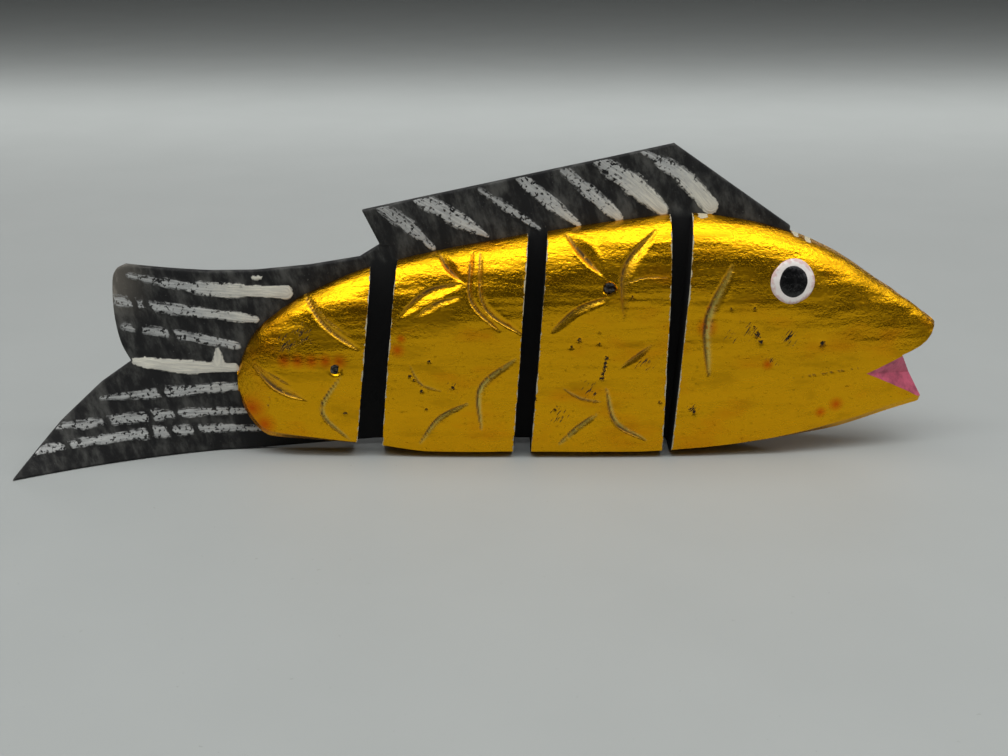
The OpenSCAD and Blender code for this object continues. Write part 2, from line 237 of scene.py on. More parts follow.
def gold_foil():
    """Imitation gold foil pressed on carved softwood. A mirror-bright metal, but crinkled by the
    wood under it, so its glints are broken into specks. Rubbed and pitted by handling."""
    tints = bpy.context.scene.fish_colours
    wear = mm(bpy.context.scene.fish_sizes.edge_wear)
    made, tree, shader = material("gold_foil_on_carved_wood")

    warm = ramp(tree, pattern(tree, 9, stretch=(2.2, 1, 1)), 0.5, 0.75, 0.0, 0.3)
    red = math_node(tree, "MAXIMUM", warm, mask(tree, "smudge"))
    foil = blend_colour(tree, red, tints.gold, tints.red_gold)
    ragged = pattern(tree, 1.1, 4, (1, 1, 1), 0.7)
    # Where the gouge stretched the foil it is paler, in broken patches.
    thin = math_node(tree, "MULTIPLY", mask(tree, "pale"), ramp(tree, ragged, 0.3, 0.5))
    foil = blend_colour(tree, thin, foil, tints.pale_gold)
    # Fine dull flecks of dirt on the foil, drawn out along the grain.
    fleck = ramp(tree, pattern(tree, 0.8, 4, (2.2, 1, 1), 0.75), 0.56, 0.72, 0.0, 0.75)
    tarnish = ramp(tree, pattern(tree, 5, 4, (3, 1, 1), 0.6), 0.5, 0.75, 0.0, 0.4)
    dull = math_node(tree, "MAXIMUM", fleck, tarnish)
    foil = blend_colour(tree, math_node(tree, "MULTIPLY", dull, 0.6), foil, linear("#5A4008"))

    rubbed = pattern(tree, 3.2, 6, (1, 1, 1), 0.75, (0.001, 0.002, 0))
    edge = math_node(tree, "SUBTRACT", mask(tree, "edge_mm"),
                     ramp(tree, rubbed, 0.42, 0.66, 0.0, wear * 1.5))
    bare = ramp(tree, edge, 0.0, 0.1, 1.0, 0.0)
    chips = ramp(tree, math_node(tree, "ADD", mask(tree, "chip"),
                                 math_node(tree, "MULTIPLY", ragged, 0.6)), 0.82, 0.88)
    bare = math_node(tree, "MAXIMUM", bare, chips)
    colour_now = blend_colour(tree, bare, foil, tints.ground)
    nick = pattern(tree, 0.6, 4, (1, 1, 1), 0.75, (0.005, 0.003, 0.001))
    knocked = math_node(tree, "ADD", math_node(tree, "MULTIPLY", mask(tree, "pit"), 0.45), nick)
    pits = ramp(tree, knocked, 0.73, 0.77)
    # Small scratches lie slanting, in a few patches.
    line = pattern(tree, 0.33, 2, (1, 1, 8), 0.5, (0, 0, 0), (0, 0.6, 0))
    scratched = ramp(tree, math_node(tree, "ADD", math_node(tree, "MULTIPLY", mask(tree, "scratch"), 0.3),
                                     line), 0.8, 0.86)
    patchy = ramp(tree, pattern(tree, 14, 2), 0.5, 0.62)
    speck = math_node(tree, "MULTIPLY", patchy, ramp(tree, nick, 0.735, 0.76))
    score = math_node(tree, "MULTIPLY", mask(tree, "score"), ramp(tree, ragged, 0.3, 0.5))
    for more in (scratched, speck, score):
        pits = math_node(tree, "MAXIMUM", pits, more)
    colour_now = blend_colour(tree, pits, colour_now, tints.pitch)
    tree.links.new(colour_now, shader.inputs["Base Color"])

    lost = math_node(tree, "MAXIMUM", bare, pits)
    # Where the foil is thin the pale ground shines through it.
    see_through = math_node(tree, "MAXIMUM", lost, math_node(tree, "MULTIPLY", thin, 0.5))
    tree.links.new(math_node(tree, "SUBTRACT", 1.0, see_through), shader.inputs["Metallic"])
    satin = ramp(tree, pattern(tree, 3.0, 3, (3, 1, 1)), 0.3, 0.7, 0.2, 0.29)
    satin = math_node(tree, "ADD", satin, math_node(tree, "MULTIPLY", dull, 0.25))
    tree.links.new(math_node(tree, "MAXIMUM", satin, math_node(tree, "MULTIPLY", pits, 0.9)),
                   shader.inputs["Roughness"])

    # The foil lies more crinkled over the rounded shoulder than on the side.
    rise = ramp(tree, mask(tree, "shoulder"), 0.0, 1.0, 0.5, 1.0)
    normal = bump(tree, shader, pattern(tree, 2.4, 3, (4, 1, 1), 0.5, (0.002, 0, 0.001)), 0.13, None, rise)
    normal = bump(tree, shader, pattern(tree, 0.8, 3, (1.4, 1, 1), 0.65), 0.17, normal, rise)
    normal = bump(tree, shader, pattern(tree, 0.5, 2, (9, 1.2, 1), 0.5, (0.001, 0, 0.003)), 0.03, normal)
    bump(tree, shader, math_node(tree, "SUBTRACT", 1.0, lost), 0.12, normal)
    return made


def sawn_paint():
    """Black distemper on sawn softwood. Matt, with the saw's fine ridges under it."""
    tints = bpy.context.scene.fish_colours
    made, tree, shader = material("black_paint_on_sawn_wood")
    worn = ramp(tree, pattern(tree, 1.4, 4, (1, 1, 1), 0.7), 0.62, 0.72, 0.0, 0.25)
    tree.links.new(blend_colour(tree, worn, tints.sawn_black, linear("#2A241B")),
                   shader.inputs["Base Color"])
    shader.inputs["Roughness"].default_value = 0.8
    # Saw marks stand 0.9 mm apart, slanting a little.
    marks = pattern(tree, 0.9, 2, (1, 1, 12), 0.5, (0, 0, 0), (0.3, 0, 0))
    bump(tree, shader, marks, 0.12)
    return made


def tube_rubber():
    """Black vulcanised rubber from an inner tube, with white paint brushed on. Dull and dusty, with
    faint streaks of talc. The paint is thick and cream where the brush ended and thin and grey
    where it ran dry."""
    tints = bpy.context.scene.fish_colours
    made, tree, shader = material("inner_tube_rubber_with_brushed_white")
    cloud = ramp(tree, pattern(tree, 4.5, 6, (1, 1, 2.2), 0.65, (0, 0, 0), (0, -0.3, 0)), 0.42, 0.72)
    streak = ramp(tree, pattern(tree, 1.6, 4, (1, 1, 4), 0.6, (0, 0, 0), (0, -0.3, 0)), 0.5, 0.78)
    speck = ramp(tree, pattern(tree, 0.6, 2), 0.68, 0.74, 0.0, 0.45)
    dust = math_node(tree, "MULTIPLY", cloud, 0.6)
    dust = math_node(tree, "ADD", dust, math_node(tree, "MULTIPLY", streak, 0.2))
    dust = math_node(tree, "MAXIMUM", dust, speck)
    # Dust lies only where the rubber shows. Down in the saw gaps it is held off, so the rubber there stays
    # black: partly clean rubber, partly painted shade of the gaps.
    dust = math_node(tree, "MULTIPLY", dust, mask(tree, "open"))
    base = blend_colour(tree, dust, tints.rubber, tints.rubber_dust)
    # Painted sheen: the tail fin's upper lobe is lightened in streaks near its curled corner, a grazing
    # reflection painted into the colour.
    sheen = math_node(tree, "MULTIPLY", mask(tree, "painted_sheen"), ramp(tree, streak, 0.0, 1.0, 0.45, 1.0))
    base = blend_colour(tree, sheen, base, linear("#8B857A"))

    # Bristle lines run along each stroke: the mesh holds how far along and across it a point is.
    run = add(tree, "ShaderNodeAttribute", {"attribute_name": "stroke"}).outputs["Vector"]
    drawn = add(tree, "ShaderNodeMapping", i0=run, i3=(0.16, 1.9, 1.0)).outputs[0]
    bristle = add(tree, "ShaderNodeTexNoise", i0=drawn, Scale=1.0, Detail=4.0, Roughness=0.65).outputs["Fac"]
    clot = add(tree, "ShaderNodeTexNoise", i0=run, Scale=0.7, Detail=5.0, Roughness=0.7).outputs["Fac"]
    load = mask(tree, "load")
    wet = mask(tree, "wet")
    broken = math_node(tree, "ADD", math_node(tree, "MULTIPLY", bristle, 0.55),
                       math_node(tree, "MULTIPLY", clot, 0.45))
    # A wet brush covers everything. A dry one leaves holes, most of all near the stroke's edge.
    level = math_node(tree, "ADD", math_node(tree, "MULTIPLY", load, 0.42),
                      math_node(tree, "MULTIPLY", wet, 0.3))
    cover = math_node(tree, "ADD", level, math_node(tree, "MULTIPLY", broken, 0.9))
    dry = ramp(tree, wet, 0.1, 1.0, 0.34, 0.05)
    holes = math_node(tree, "MULTIPLY", ramp(tree, pattern(tree, 0.9, 3), 0.54, 0.62), dry)
    cover = math_node(tree, "SUBTRACT", cover, holes)
    covered = math_node(tree, "MULTIPLY", ramp(tree, cover, 0.7, 0.92), ramp(tree, load, 0.05, 0.2))
    thick = ramp(tree, math_node(tree, "ADD", wet, math_node(tree, "MULTIPLY", clot, 0.5)), 0.6, 1.15)
    paint = blend_colour(tree, thick, tints.thin_white, tints.white)
    tone = ramp(tree, bristle, 0.35, 0.7, 0.4, 0.0)
    paint = blend_colour(tree, tone, paint, linear("#7F8284"))
    dense = math_node(tree, "ADD", wet, math_node(tree, "MULTIPLY", bristle, 0.5))
    solid = ramp(tree, dense, 0.1, 0.8, 0.55, 1.0)
    tree.links.new(blend_colour(tree, math_node(tree, "MULTIPLY", covered, solid), base, paint),
                   shader.inputs["Base Color"])
    tree.links.new(ramp(tree, covered, 0.0, 1.0, 0.72, 0.55), shader.inputs["Roughness"])
    shader.inputs["Specular IOR Level"].default_value = 0.35
    normal = bump(tree, shader, pattern(tree, 0.5, 3), 0.05)
    ridges = math_node(tree, "MULTIPLY", covered, math_node(tree, "ADD", bristle, 0.6))
    bump(tree, shader, ridges, 0.1, normal)
    return made


def enamel(name, main, shade, size_mm, rough, relief_mm, spread=(0.42, 0.7)):
    """Hobby enamel laid on thick with a brush. Smooth and glossy, with soft brush ridges and a
    second tone where it is thinner. Thinner near the rim, if the mesh says where that is."""
    made, tree, shader = material(name)
    near_rim = math_node(tree, "MULTIPLY", mask(tree, "rim"), 0.3)
    level = math_node(tree, "ADD", pattern(tree, size_mm, 4), near_rim)
    patch = ramp(tree, level, *spread)
    tree.links.new(blend_colour(tree, patch, main, shade), shader.inputs["Base Color"])
    tree.links.new(ramp(tree, patch, 0.0, 1.0, rough, rough + 0.12), shader.inputs["Roughness"])
    bump(tree, shader, pattern(tree, size_mm * 0.5, 3, (1, 1, 2)), relief_mm)
    return made


def nail_steel():
    """Drawn steel wire nail, blackened by age. Dark metal with a worn bright face."""
    made, tree, shader = material("blackened_nail_steel")
    spot = ramp(tree, pattern(tree, 0.9, 4), 0.4, 0.65)
    tree.links.new(blend_colour(tree, spot, linear("#1B1917"), bpy.context.scene.fish_colours.steel),
                   shader.inputs["Base Color"])
    shader.inputs["Metallic"].default_value = 0.9
    tree.links.new(ramp(tree, spot, 0.0, 1.0, 0.55, 0.3), shader.inputs["Roughness"])
    bump(tree, shader, pattern(tree, 0.7, 3), 0.1)
    return made


# ---------------------------------------------------------------- shared mesh tools

def new_piece(name, points, faces, materials, slots=None, sharp=38):
    """A mesh object from points in mm. Edges sharper than the given angle stay crisp"""
    mesh = bpy.data.meshes.new(name)
    mesh.from_pydata((np.asarray(points) * MM).tolist(), [], faces)
    for made in materials:
        mesh.materials.append(made)
    if slots is not None:
        mesh.polygons.foreach_set("material_index", slots)
    mesh.shade_smooth()
    mesh.set_sharp_from_angle(angle=math.radians(sharp))
    mesh.update()
    made = bpy.data.objects.new(name, mesh)
    bpy.context.scene.collection.objects.link(made)
    return made


def hold(mesh, name, values, kind="FLOAT"):
    """Stores a value for each point of the mesh, for its material to read"""
    attribute = mesh.attributes.new(name, kind, "POINT")
    field = "value" if kind == "FLOAT" else "vector"
    attribute.data.foreach_set(field, np.ascontiguousarray(values, np.float32).ravel())


def points_of(mesh):
    """The mesh's points in mm"""
    flat = np.empty(len(mesh.vertices) * 3, np.float32)
    mesh.vertices.foreach_get("co", flat)
    return flat.reshape(-1, 3).astype(float) / MM


def smooth_step(value, low, high):
    """0 up to low, 1 from high on, and smooth between them"""
    t = np.clip((value - low) / (high - low), 0, 1)
    return t * t * (3 - 2 * t)


def lumps(points, size, seed):
    """Smooth random field from -1 to 1, with lumps of the given sizes along x, y and z"""
    span = 32
    table = np.random.default_rng(seed).uniform(-1, 1, (span, span, span))
    cell = np.asarray(points, float) / np.asarray(size, float)
    low = np.floor(cell).astype(int)
    t = cell - low
    t = t * t * (3 - 2 * t)
    total = np.zeros(cell.shape[:-1])
    for corner in np.ndindex(2, 2, 2):
        share = np.prod(np.where(corner, t, 1 - t), axis=-1)
        at = (low + corner) % span
        total += share * table[at[..., 0], at[..., 1], at[..., 2]]
    return total


def curve_through(points, steps=6):
    """A smooth line through the points, by Catmull and Rom's rule"""
    p = np.array(points, float)
    if len(p) < 3:
        return np.linspace(p[0], p[-1], steps + 1)
    p = np.vstack([2 * p[0] - p[1], p, 2 * p[-1] - p[-2]])
    out = []
    for a, b, c, d in zip(p, p[1:], p[2:], p[3:]):
        for t in np.arange(steps) / steps:
            out.append(0.5 * (2 * b + (c - a) * t + (2 * a - 5 * b + 4 * c - d) * t ** 2
                              + (3 * b - a - 3 * c + d) * t ** 3))
    out.append(p[-2])
    return np.array(out)


def beside(line, at):
    """For each point: its distance from a line, which side, and how far along it, in mm"""
    line = np.asarray(line, float)
    steps = np.diff(line, axis=0)
    lengths = np.hypot(*steps.T)
    before = np.concatenate([[0], np.cumsum(lengths)])
    best = np.full(len(at), 1e9)
    across = np.zeros(len(at))
    along = np.zeros(len(at))
    for i, (start, step, size) in enumerate(zip(line, steps, lengths)):
        away = at - start
        t = np.clip(away @ step / size ** 2, 0, 1)
        near = away - t[:, None] * step
        distance = np.hypot(*near.T)
        closer = distance < best
        best[closer] = distance[closer]
        side = np.sign(step[0] * away[:, 1] - step[1] * away[:, 0])
        across[closer] = (side * distance)[closer]
        along[closer] = (before[i] + t * size)[closer]
    return best, across, along, before[-1]


# ---------------------------------------------------------------- the carved form

def line_at(points, x):
    """Smooth line through points in order of x, held level past the ends"""
    px, pz = np.array(points, float).T
    slope = np.empty_like(px)
    slope[1:-1] = (pz[2:] - pz[:-2]) / (px[2:] - px[:-2])
    slope[0] = (pz[1] - pz[0]) / (px[1] - px[0])
    slope[-1] = (pz[-1] - pz[-2]) / (px[-1] - px[-2])
    i = np.clip(np.searchsorted(px, x, side="right") - 1, 0, len(px) - 2)
    w = px[i + 1] - px[i]
    t = np.clip((x - px[i]) / w, 0, 1)
    rise = pz[i + 1] - pz[i]
    return (pz[i] + slope[i] * w * t * (1 - t) ** 2 + rise * t * t * (3 - 2 * t)
            - slope[i + 1] * w * t * t * (1 - t))


def sawn_face(node, way, turn=0.0, hinge=0.0):
    """A CAD block's flat sawn face that looks along way: its x on the table and its slope, in mm.
    A block that is set at an angle is turned back about the hinge first."""
    mesh = frame["nodes"][node].data
    sums = {}
    for face in mesh.polygons:
        nx, ny, nz = face.normal
        c, s = math.cos(turn), math.sin(turn)
        nx, ny = c * nx + s * ny, c * ny - s * nx
        if way * nx < 0.98 or abs(ny) > 0.01:
            continue
        x, y, z = (mm(v) for v in face.center)
        x = hinge + c * (x - hinge) + s * y
        slope = -nz / nx
        key = round(x - slope * z, 1)
        area, _, _ = sums.get(key, (0, 0, 0))
        sums[key] = (area + face.area, x - slope * z, slope)
    if not sums:
        raise RuntimeError(f"{node} has no sawn face")
    _, foot, slope = max(sums.values())
    return np.array([foot, slope])


def rest_turn():
    """The angle to which the tail is set at rest, from the slant of its flexing strip"""
    mesh = frame["nodes"]["fin_web"].data
    side = max((f for f in mesh.polygons if f.normal.y > 0.9), key=lambda f: f.area)
    return math.atan2(-side.normal.x, side.normal.y)


def make_form():
    """The body's cut planes from the CAD, and its lines of crest, belly and half thickness"""
    size = bpy.context.scene.fish_sizes
    joint = {j["name"]: j["pos_m"] for j in frame["joints"]}
    hinge = mm(joint["tail_bend"][0])
    turn = rest_turn()
    tail = points_of(frame["nodes"]["tail_block_right"].data)
    tail_x = hinge + math.cos(turn) * (tail[:, 0] - hinge) + math.sin(turn) * tail[:, 1]
    web = points_of(frame["nodes"]["fin_web"].data)
    web_x = hinge + math.cos(turn) * (web[:, 0] - hinge) + math.sin(turn) * web[:, 1]
    cuts = {
        "tail_end": np.array([tail_x.min(), 0]),
        "tail_front": sawn_face("tail_block_right", 1, turn, hinge),
        "rear_rear": sawn_face("rear_block_right", -1),
        "rear_front": sawn_face("rear_block_right", 1),
        "middle_rear": sawn_face("middle_block_right", -1),
        "middle_front": sawn_face("middle_block_right", 1),
        "head_rear": sawn_face("head_block", -1),
        "lips": sawn_face("head_block", 1),
    }
    x = {name: cut[0] for name, cut in cuts.items()}
    half = mm(size.body_w) / 2
    end_h, neck_h, brow_h = mm(size.tail_end_h), mm(size.neck_h), mm(size.brow_h)
    eye_x = mm(sum(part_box("pupil_right"), Vector())[0] / 2)
    crest = [
        (x["tail_end"], end_h - 4), (x["tail_end"] + 7, end_h + 1.2),
        (x["tail_end"] + 17, end_h + 8.3), (x["tail_front"] + 5, mm(size.peduncle_h)),
        (x["middle_rear"], mm(size.waist_h)), (x["head_rear"] + 2, neck_h),
        (x["head_rear"] + 16, neck_h - 1.4), (eye_x, brow_h), (eye_x + 15, brow_h - 7),
        (x["lips"] + 5, mm(size.snout_h)),
    ]
    belly = [
        (x["tail_end"], 7), (x["tail_end"] + 8, 5.4), (x["tail_front"], 2.6),
        (x["rear_rear"] + 12, 0), (x["middle_rear"], 0), (x["middle_front"] - 6, 0),
        (x["head_rear"] + 15, 1.6), (x["head_rear"] + 29, 3.8), (x["head_rear"] + 43, 6.9),
        (x["lips"], 12.8),
    ]
    snout = mm(size.snout_w) / 2
    plan = [
        (x["tail_end"], mm(size.tail_end_w) / 2), (x["tail_end"] + 8, half - 5),
        (x["tail_end"] + 17, half - 2.8), (x["tail_front"], half - 1.1),
        (x["rear_front"], half), (x["middle_front"], half - 0.3), (eye_x, half - 1.7),
        (eye_x + 15, half - 4), (x["lips"] - 3, snout + 1.4), (x["lips"] + 5, snout),
    ]
    return SimpleNamespace(
        cuts=cuts, crest=crest, belly=belly, plan=plan, hinge=hinge, turn=turn, eye_x=eye_x,
        sheet_t=mm((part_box("neck_web")[1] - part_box("neck_web")[0]).y), root_x=web_x.min(),
        flex_front=web_x.max(),
        shoulder=mm(size.shoulder_h), flat=mm(size.belly_flat_w) / 2, glue=GLUE)


# The tail block's end is rounded over this length, about this height, and the glue is this thick
ROUND_L = 8
ROUND_Z = 20
GLUE = 0.05


def rounded(form, line, x):
    """Height of the crest or belly, with the tail block's end rounded off"""
    s = np.clip((x - form.cuts["tail_end"][0]) / ROUND_L, 0.03, 1)
    return ROUND_Z + (line - ROUND_Z) * np.sqrt(1 - (1 - s) ** 2)


def crest_z(form, x):
    """Height of the crest at x, in mm"""
    return rounded(form, line_at(form.crest, x), x)


def belly_z(form, x):
    """Height of the belly at x, in mm"""
    return rounded(form, np.maximum(line_at(form.belly, x), 0), x)


def at_cut(cut, z):
    """A leaning saw cut's x at a height, in mm"""
    return cut[0] + cut[1] * z


# Height of the bevel between belly and side, and how round the shoulder is: 2 is an ellipse
BEVEL_H = 1.8
SHOULDER_POWER = 2


def section(form, cut, inner, count):
    """Points of one side, belly to crest, in the plane of a cut: x, y and z in mm"""
    high = float(crest_z(form, at_cut(cut, float(crest_z(form, at_cut(cut, 58))))))
    low = float(belly_z(form, at_cut(cut, 0)))
    half = float(line_at(form.plan, at_cut(cut, high / 2)))
    h = high - low
    s = min(form.shoulder, h * 0.45)
    flat = min(form.flat / half, 0.7)
    share, height = [0, flat], [low, low]
    for t in np.linspace(min(BEVEL_H / h, 0.15), (h - s) / h, 24):
        share.append(1 - 0.73 * max(0.4 - t, 0) ** 2 - 0.06 * max(1 - t / 0.12, 0) ** 2)
        height.append(low + t * h)
    for a in np.radians(np.linspace(3, 90, 30)):
        share.append(max(math.cos(a), 0) ** (2 / SHOULDER_POWER))
        height.append(high - s + s * math.sin(a) ** (2 / SHOULDER_POWER))
    y = inner + (half - inner) * np.array(share)
    z = np.array(height)
    run = np.concatenate([[0], np.cumsum(np.hypot(np.diff(y), np.diff(z)))])
    # The lower corners keep points of their own, so that they stay crisp.
    corners = [0, run[1], run[2], run[-1]]
    total = run[-1]
    stops = [corners[0]]
    for a, b in zip(corners, corners[1:]):
        n = max(2, round(count * (b - a) / total))
        stops.extend(np.linspace(a, b, n + 1)[1:])
    stops = np.array(stops)
    return np.interp(stops, run, y), np.interp(stops, run, z)


def skin(form, a, b, inner, packing=1.0):
    """Grid of points over one side of a block, from saw cut a to saw cut b, belly to crest"""
    step = mm(bpy.context.scene.fish_sizes.skin_step)
    long = max(at_cut(b, 40) - at_cut(a, 40), 10)
    columns = max(24, round(long / step))
    tall = float(crest_z(form, at_cut(b, 40)))
    rows = round((tall + 30) / step)
    rings = []
    counts = None
    for t in np.linspace(0, 1, columns + 1) ** packing:
        cut = a + (b - a) * t
        y, z = section(form, cut, inner, rows)
        if counts is not None and len(y) != counts:
            y = np.interp(np.linspace(0, 1, counts), np.linspace(0, 1, len(y)), y)
            z = np.interp(np.linspace(0, 1, counts), np.linspace(0, 1, len(z)), z)
        counts = len(y)
        rings.append(np.column_stack([at_cut(cut, z), y, z]))
    return np.array(rings)


def grid_normals(grid):
    """Unit normal at each point of a grid of points"""
    along = np.gradient(grid, axis=0)
    round_ = np.gradient(grid, axis=1)
    n = np.cross(along, round_)
    return n / np.maximum(np.linalg.norm(n, axis=-1, keepdims=True), 1e-9)


# Gouged marks: start and end in mm along the fish and up, how far the mark bows to its right hand,
# half width, depth, kind, and how far the foil in it has gone pale. A leaf is widest in its middle,
# and a vein keeps its width.
GOUGES = {
    "tail": [
        ((-76, 44), (-62, 30), 1.5, 1.0, 0.75, "vein", 0.2),
        ((-74, 43), (-63, 33), 1, 0.6, 0.3, "leaf", 0.0),
        ((-90, 26), (-75, 16), 1.5, 1.7, 0.8, "leaf", 0.1),
        ((-86, 24), (-79, 20), 0, 0.7, 0.35, "leaf", 0.0),
        ((-67, 23), (-65, 5), 6, 0.75, 0.45, "vein", 0.9),
        ((-85, 18), (-86, 12), 0, 0.2, 0.3, "leaf", 0.0),
    ],
    "rear": [
        ((-41, 54), (-34, 47), 0.5, 1.3, 0.95, "leaf", 0.0),
        ((-32, 54), (-25, 35), 4, 0.9, 0.75, "vein", 0.1),
        ((-30, 54), (-19, 34), 5, 0.9, 0.65, "vein", 0.1),
        ((-34, 47), (-51, 38), 2, 1.7, 0.95, "leaf", 0.0),
        ((-34, 44), (-47, 38), 1, 0.9, 0.5, "leaf", 0.1),
        ((-21, 28), (-30, 8), 5, 0.95, 0.5, "vein", 1.0),
        ((-33, 16), (-46, 4), 2, 0.8, 0.5, "vein", 0.9),
        ((-48, 26), (-40, 19), 2, 0.5, 0.16, "vein", 0.3),
    ],
    "middle": [
        ((-9, 59), (1, 49), 0, 1.8, 1.2, "leaf", 0.0),
        ((15, 61), (6, 38), 4.5, 1.7, 1.1, "leaf", 0.1),
        ((12, 58), (5, 48), 1, 0.8, 0.5, "leaf", 0.0),
        ((2, 44), (-12, 35), 1.5, 1.1, 0.7, "vein", 0.2),
        ((14, 32), (5, 25), 0, 0.8, 0.45, "leaf", 0.2),
        ((2, 20), (13, 5), 3.5, 0.9, 0.55, "vein", 0.9),
        ((0, 13), (-10, 4), 0.5, 0.85, 0.5, "vein", 0.9),
        ((-9, 20), (1, 16), 1, 0.5, 0.18, "vein", 0.4),
        ((5, 47), (17, 49), -1, 0.5, 0.15, "vein", 0.0),
    ],
    "head": [
        ((33, 52), (28, 23), 3.5, 1.4, 0.85, "vein", 1.0),
        ((69, 24), (49, 22), 0, 0.2, 0.2, "leaf", 0.0),
    ],
}

# Places in mm where the foil has worn or been knocked through to the dark wood, with a radius.
SLIT = [(2 - 0.2 * i, 28 - 1.1 * i, 0.65) for i in range(6)]
PITS = SLIT + [
    (2, 46, 1), (-5, 33, 0.6), (-7, 31, 0.5), (0, 32, 0.4), (0, 35, 0.3), (57, 31, 0.9), (40, 34, 0.9),
    (41, 32, 0.7), (39, 36, 0.4), (48, 33, 0.4), (24, 14, 0.5), (25, 13, 0.5), (33, 41, 0.4),
    (39, 41, 0.4), (-45, 19, 0.5), (-44, 14, 0.4), (-43, 27, 0.5), (-37, 20, 0.5), (-66, 13, 0.6),
    (-16, 17, 0.5), (16, 16, 0.5), (-48, 23, 0.5), (-47, 22, 0.4), (-11, 14, 0.4), (8, 44, 0.5),
]
SCRATCHES = [
    (48, 33, 3), (38, 35, 3), (25, 14, 2), (33, 33, 2.5), (44, 27, 2), (-80, 31, 4.5), (-76, 34, 3.5),
    (-2, 19, 3), (-10, 12, 3), (-36, 20, 2.5), (12, 27, 3),
]
# Red-brown smudges, with a row of them along the tail's streak
SMUDGES = [(-67 - 3.5 * i, 27, 1.6) for i in range(5)] + [
    (-50, 33, 1), (-51, 30, 1.5), (-90, 13, 3), (-87, 9, 2.5), (27, 36, 2), (62, 14, 1.5),
    (58, 12, 1.2), (43, 26, 1.2), (28, 41, 1),
]
CHIPS = [(26, 63, 1.8), (50, 58, 1.4), (53, 56, 1.2)]
# How deep the pocket of each nail's head is, in mm
NAIL_POCKETS = {"middle": 1.5, "tail": 0.6}


def nail_at(block, form):
    """Where a block's nail is along and up, in mm, with the tail turned straight"""
    points = points_of(frame["nodes"][block + "_nail"].data)
    turn = form.turn if block == "tail" else 0
    x = form.hinge + math.cos(turn) * (points[:, 0] - form.hinge) + math.sin(turn) * points[:, 1]
    return np.array([(x.min() + x.max()) / 2, (points[:, 2].min() + points[:, 2].max()) / 2])


def bowed(start, end, bow):
    """A line in mm from start to end that bows to its right hand by so much in its middle"""
    start, end = np.array(start, float), np.array(end, float)
    way = (end - start) / np.hypot(*(end - start))
    return curve_through([start, (start + end) / 2 + bow * np.array([way[1], -way[0]]), end], 12)


def gouge_depth(block, at):
    """Depth of the gouged marks at points along and up, and the dark and pale lines in them"""
    depth = np.zeros(len(at))
    dark = np.zeros(len(at))
    pale = np.zeros(len(at))
    for start, end, bow, half, deep, kind, faded in GOUGES[block]:
        line = bowed(start, end, bow)
        near = np.all((at > line.min(0) - 3) & (at < line.max(0) + 3), axis=1)
        if not near.any():
            continue
        distance, across, along, total = beside(line, at[near])
        t = np.clip(along / total, 0, 1)
        taper = np.sin(np.pi * np.clip(t, 0.001, 0.999)) ** (0.8 if kind == "leaf" else 0.3)
        # One flank is steeper than the other, as a gouge held at a slant leaves it.
        wide = half * np.maximum(taper, 0.15) * np.where(across > 0, 1.35, 0.65)
        share = distance / wide
        cut = deep * np.maximum(taper, 0.1) * np.clip(1 - share, 0, 1)
        lip = 0.12 * deep * taper * np.exp(-((share - 1.25) / 0.3) ** 2)
        depth[near] = np.where(cut > depth[near], cut, depth[near]) - np.where(cut > 0, 0, lip)
        middle = across / (half * np.maximum(taper, 0.15))
        dark[near] = np.maximum(dark[near], taper * np.exp(-((middle + 0.2) / 0.3) ** 2))
        pale[near] = np.maximum(pale[near], faded * taper * np.exp(-((middle - 0.35) / 0.5) ** 2))
    return depth, dark, pale


def spots(places, at):
    """1 at the middle of each of the places and 0 past its radius"""
    out = np.zeros(len(at))
    for x, z, radius in places:
        distance = np.hypot(at[:, 0] - x, at[:, 1] - z)
        out = np.maximum(out, np.clip(1 - distance / (1.6 * radius), 0, 1))
    return out


def carve(grid, block, seed, nail=None):
    """Works the smooth skin as the knife, gouge and nail did. Returns the grid with its marks"""
    size = bpy.context.scene.fish_sizes
    normal = grid_normals(grid)
    outward = np.sign(np.sum(normal[..., 1] * grid[..., 1])) or 1
    normal = normal * outward
    at = grid[..., [0, 2]].reshape(-1, 2)
    flank = np.clip(np.abs(normal[..., 1]) * 1.6, 0, 1).ravel()
    depth, _, _ = gouge_depth(block, at)
    wave = lumps(grid, (17, 9, 8), seed) + 0.5 * lumps(grid, (8, 6, 5), seed + 1)
    streak = lumps(grid, (22, 2.2, 1.9), seed + 2) + 0.6 * lumps(grid, (9, 1.3, 1.1), seed + 3)
    pit = spots(PITS, at) * flank
    # The side has the plainest facets between mid height and shoulder.
    band = 1 + np.exp(-((grid[..., 2] - 42) / 9) ** 2)
    offset = (mm(size.knife_wave) * wave + mm(size.knife_streak) * band * streak).ravel()
    # The belly strip that the fish stands on stays flat, and so do the edges along the rubber.
    flat = smooth_step(grid[..., 2].ravel(), 0.3, 3.5)
    offset = (offset - mm(size.knife_wave) * 0.6) * flat
    offset = offset - depth * flank - 0.35 * pit
    if nail:
        place, deep = nail
        offset = offset - deep * smooth_step(-np.hypot(*(at - place).T), -1.7, -1.2)
    return grid + normal * offset.reshape(grid.shape[:2])[..., None]


def wander(grid, form, a, b, seed):
    """Lets the saw stray from its straight line at both sawn ends"""
    amount = mm(bpy.context.scene.fish_sizes.saw_wander)
    out = grid.copy()
    for cut, way in ((a, 1), (b, -1)):
        distance = np.abs(grid[..., 0] - at_cut(cut, grid[..., 2]))
        near = np.clip(1 - distance / 1.5, 0, 1)
        face = grid * [0, 1, 1]
        stray = 0.5 + 0.5 * lumps(face, (3, 3, 3), seed) + 0.4 * lumps(face, (1, 1, 0.9), seed + 1)
        out[..., 0] += way * amount * near * np.clip(stray, 0, 1.5)
    return out


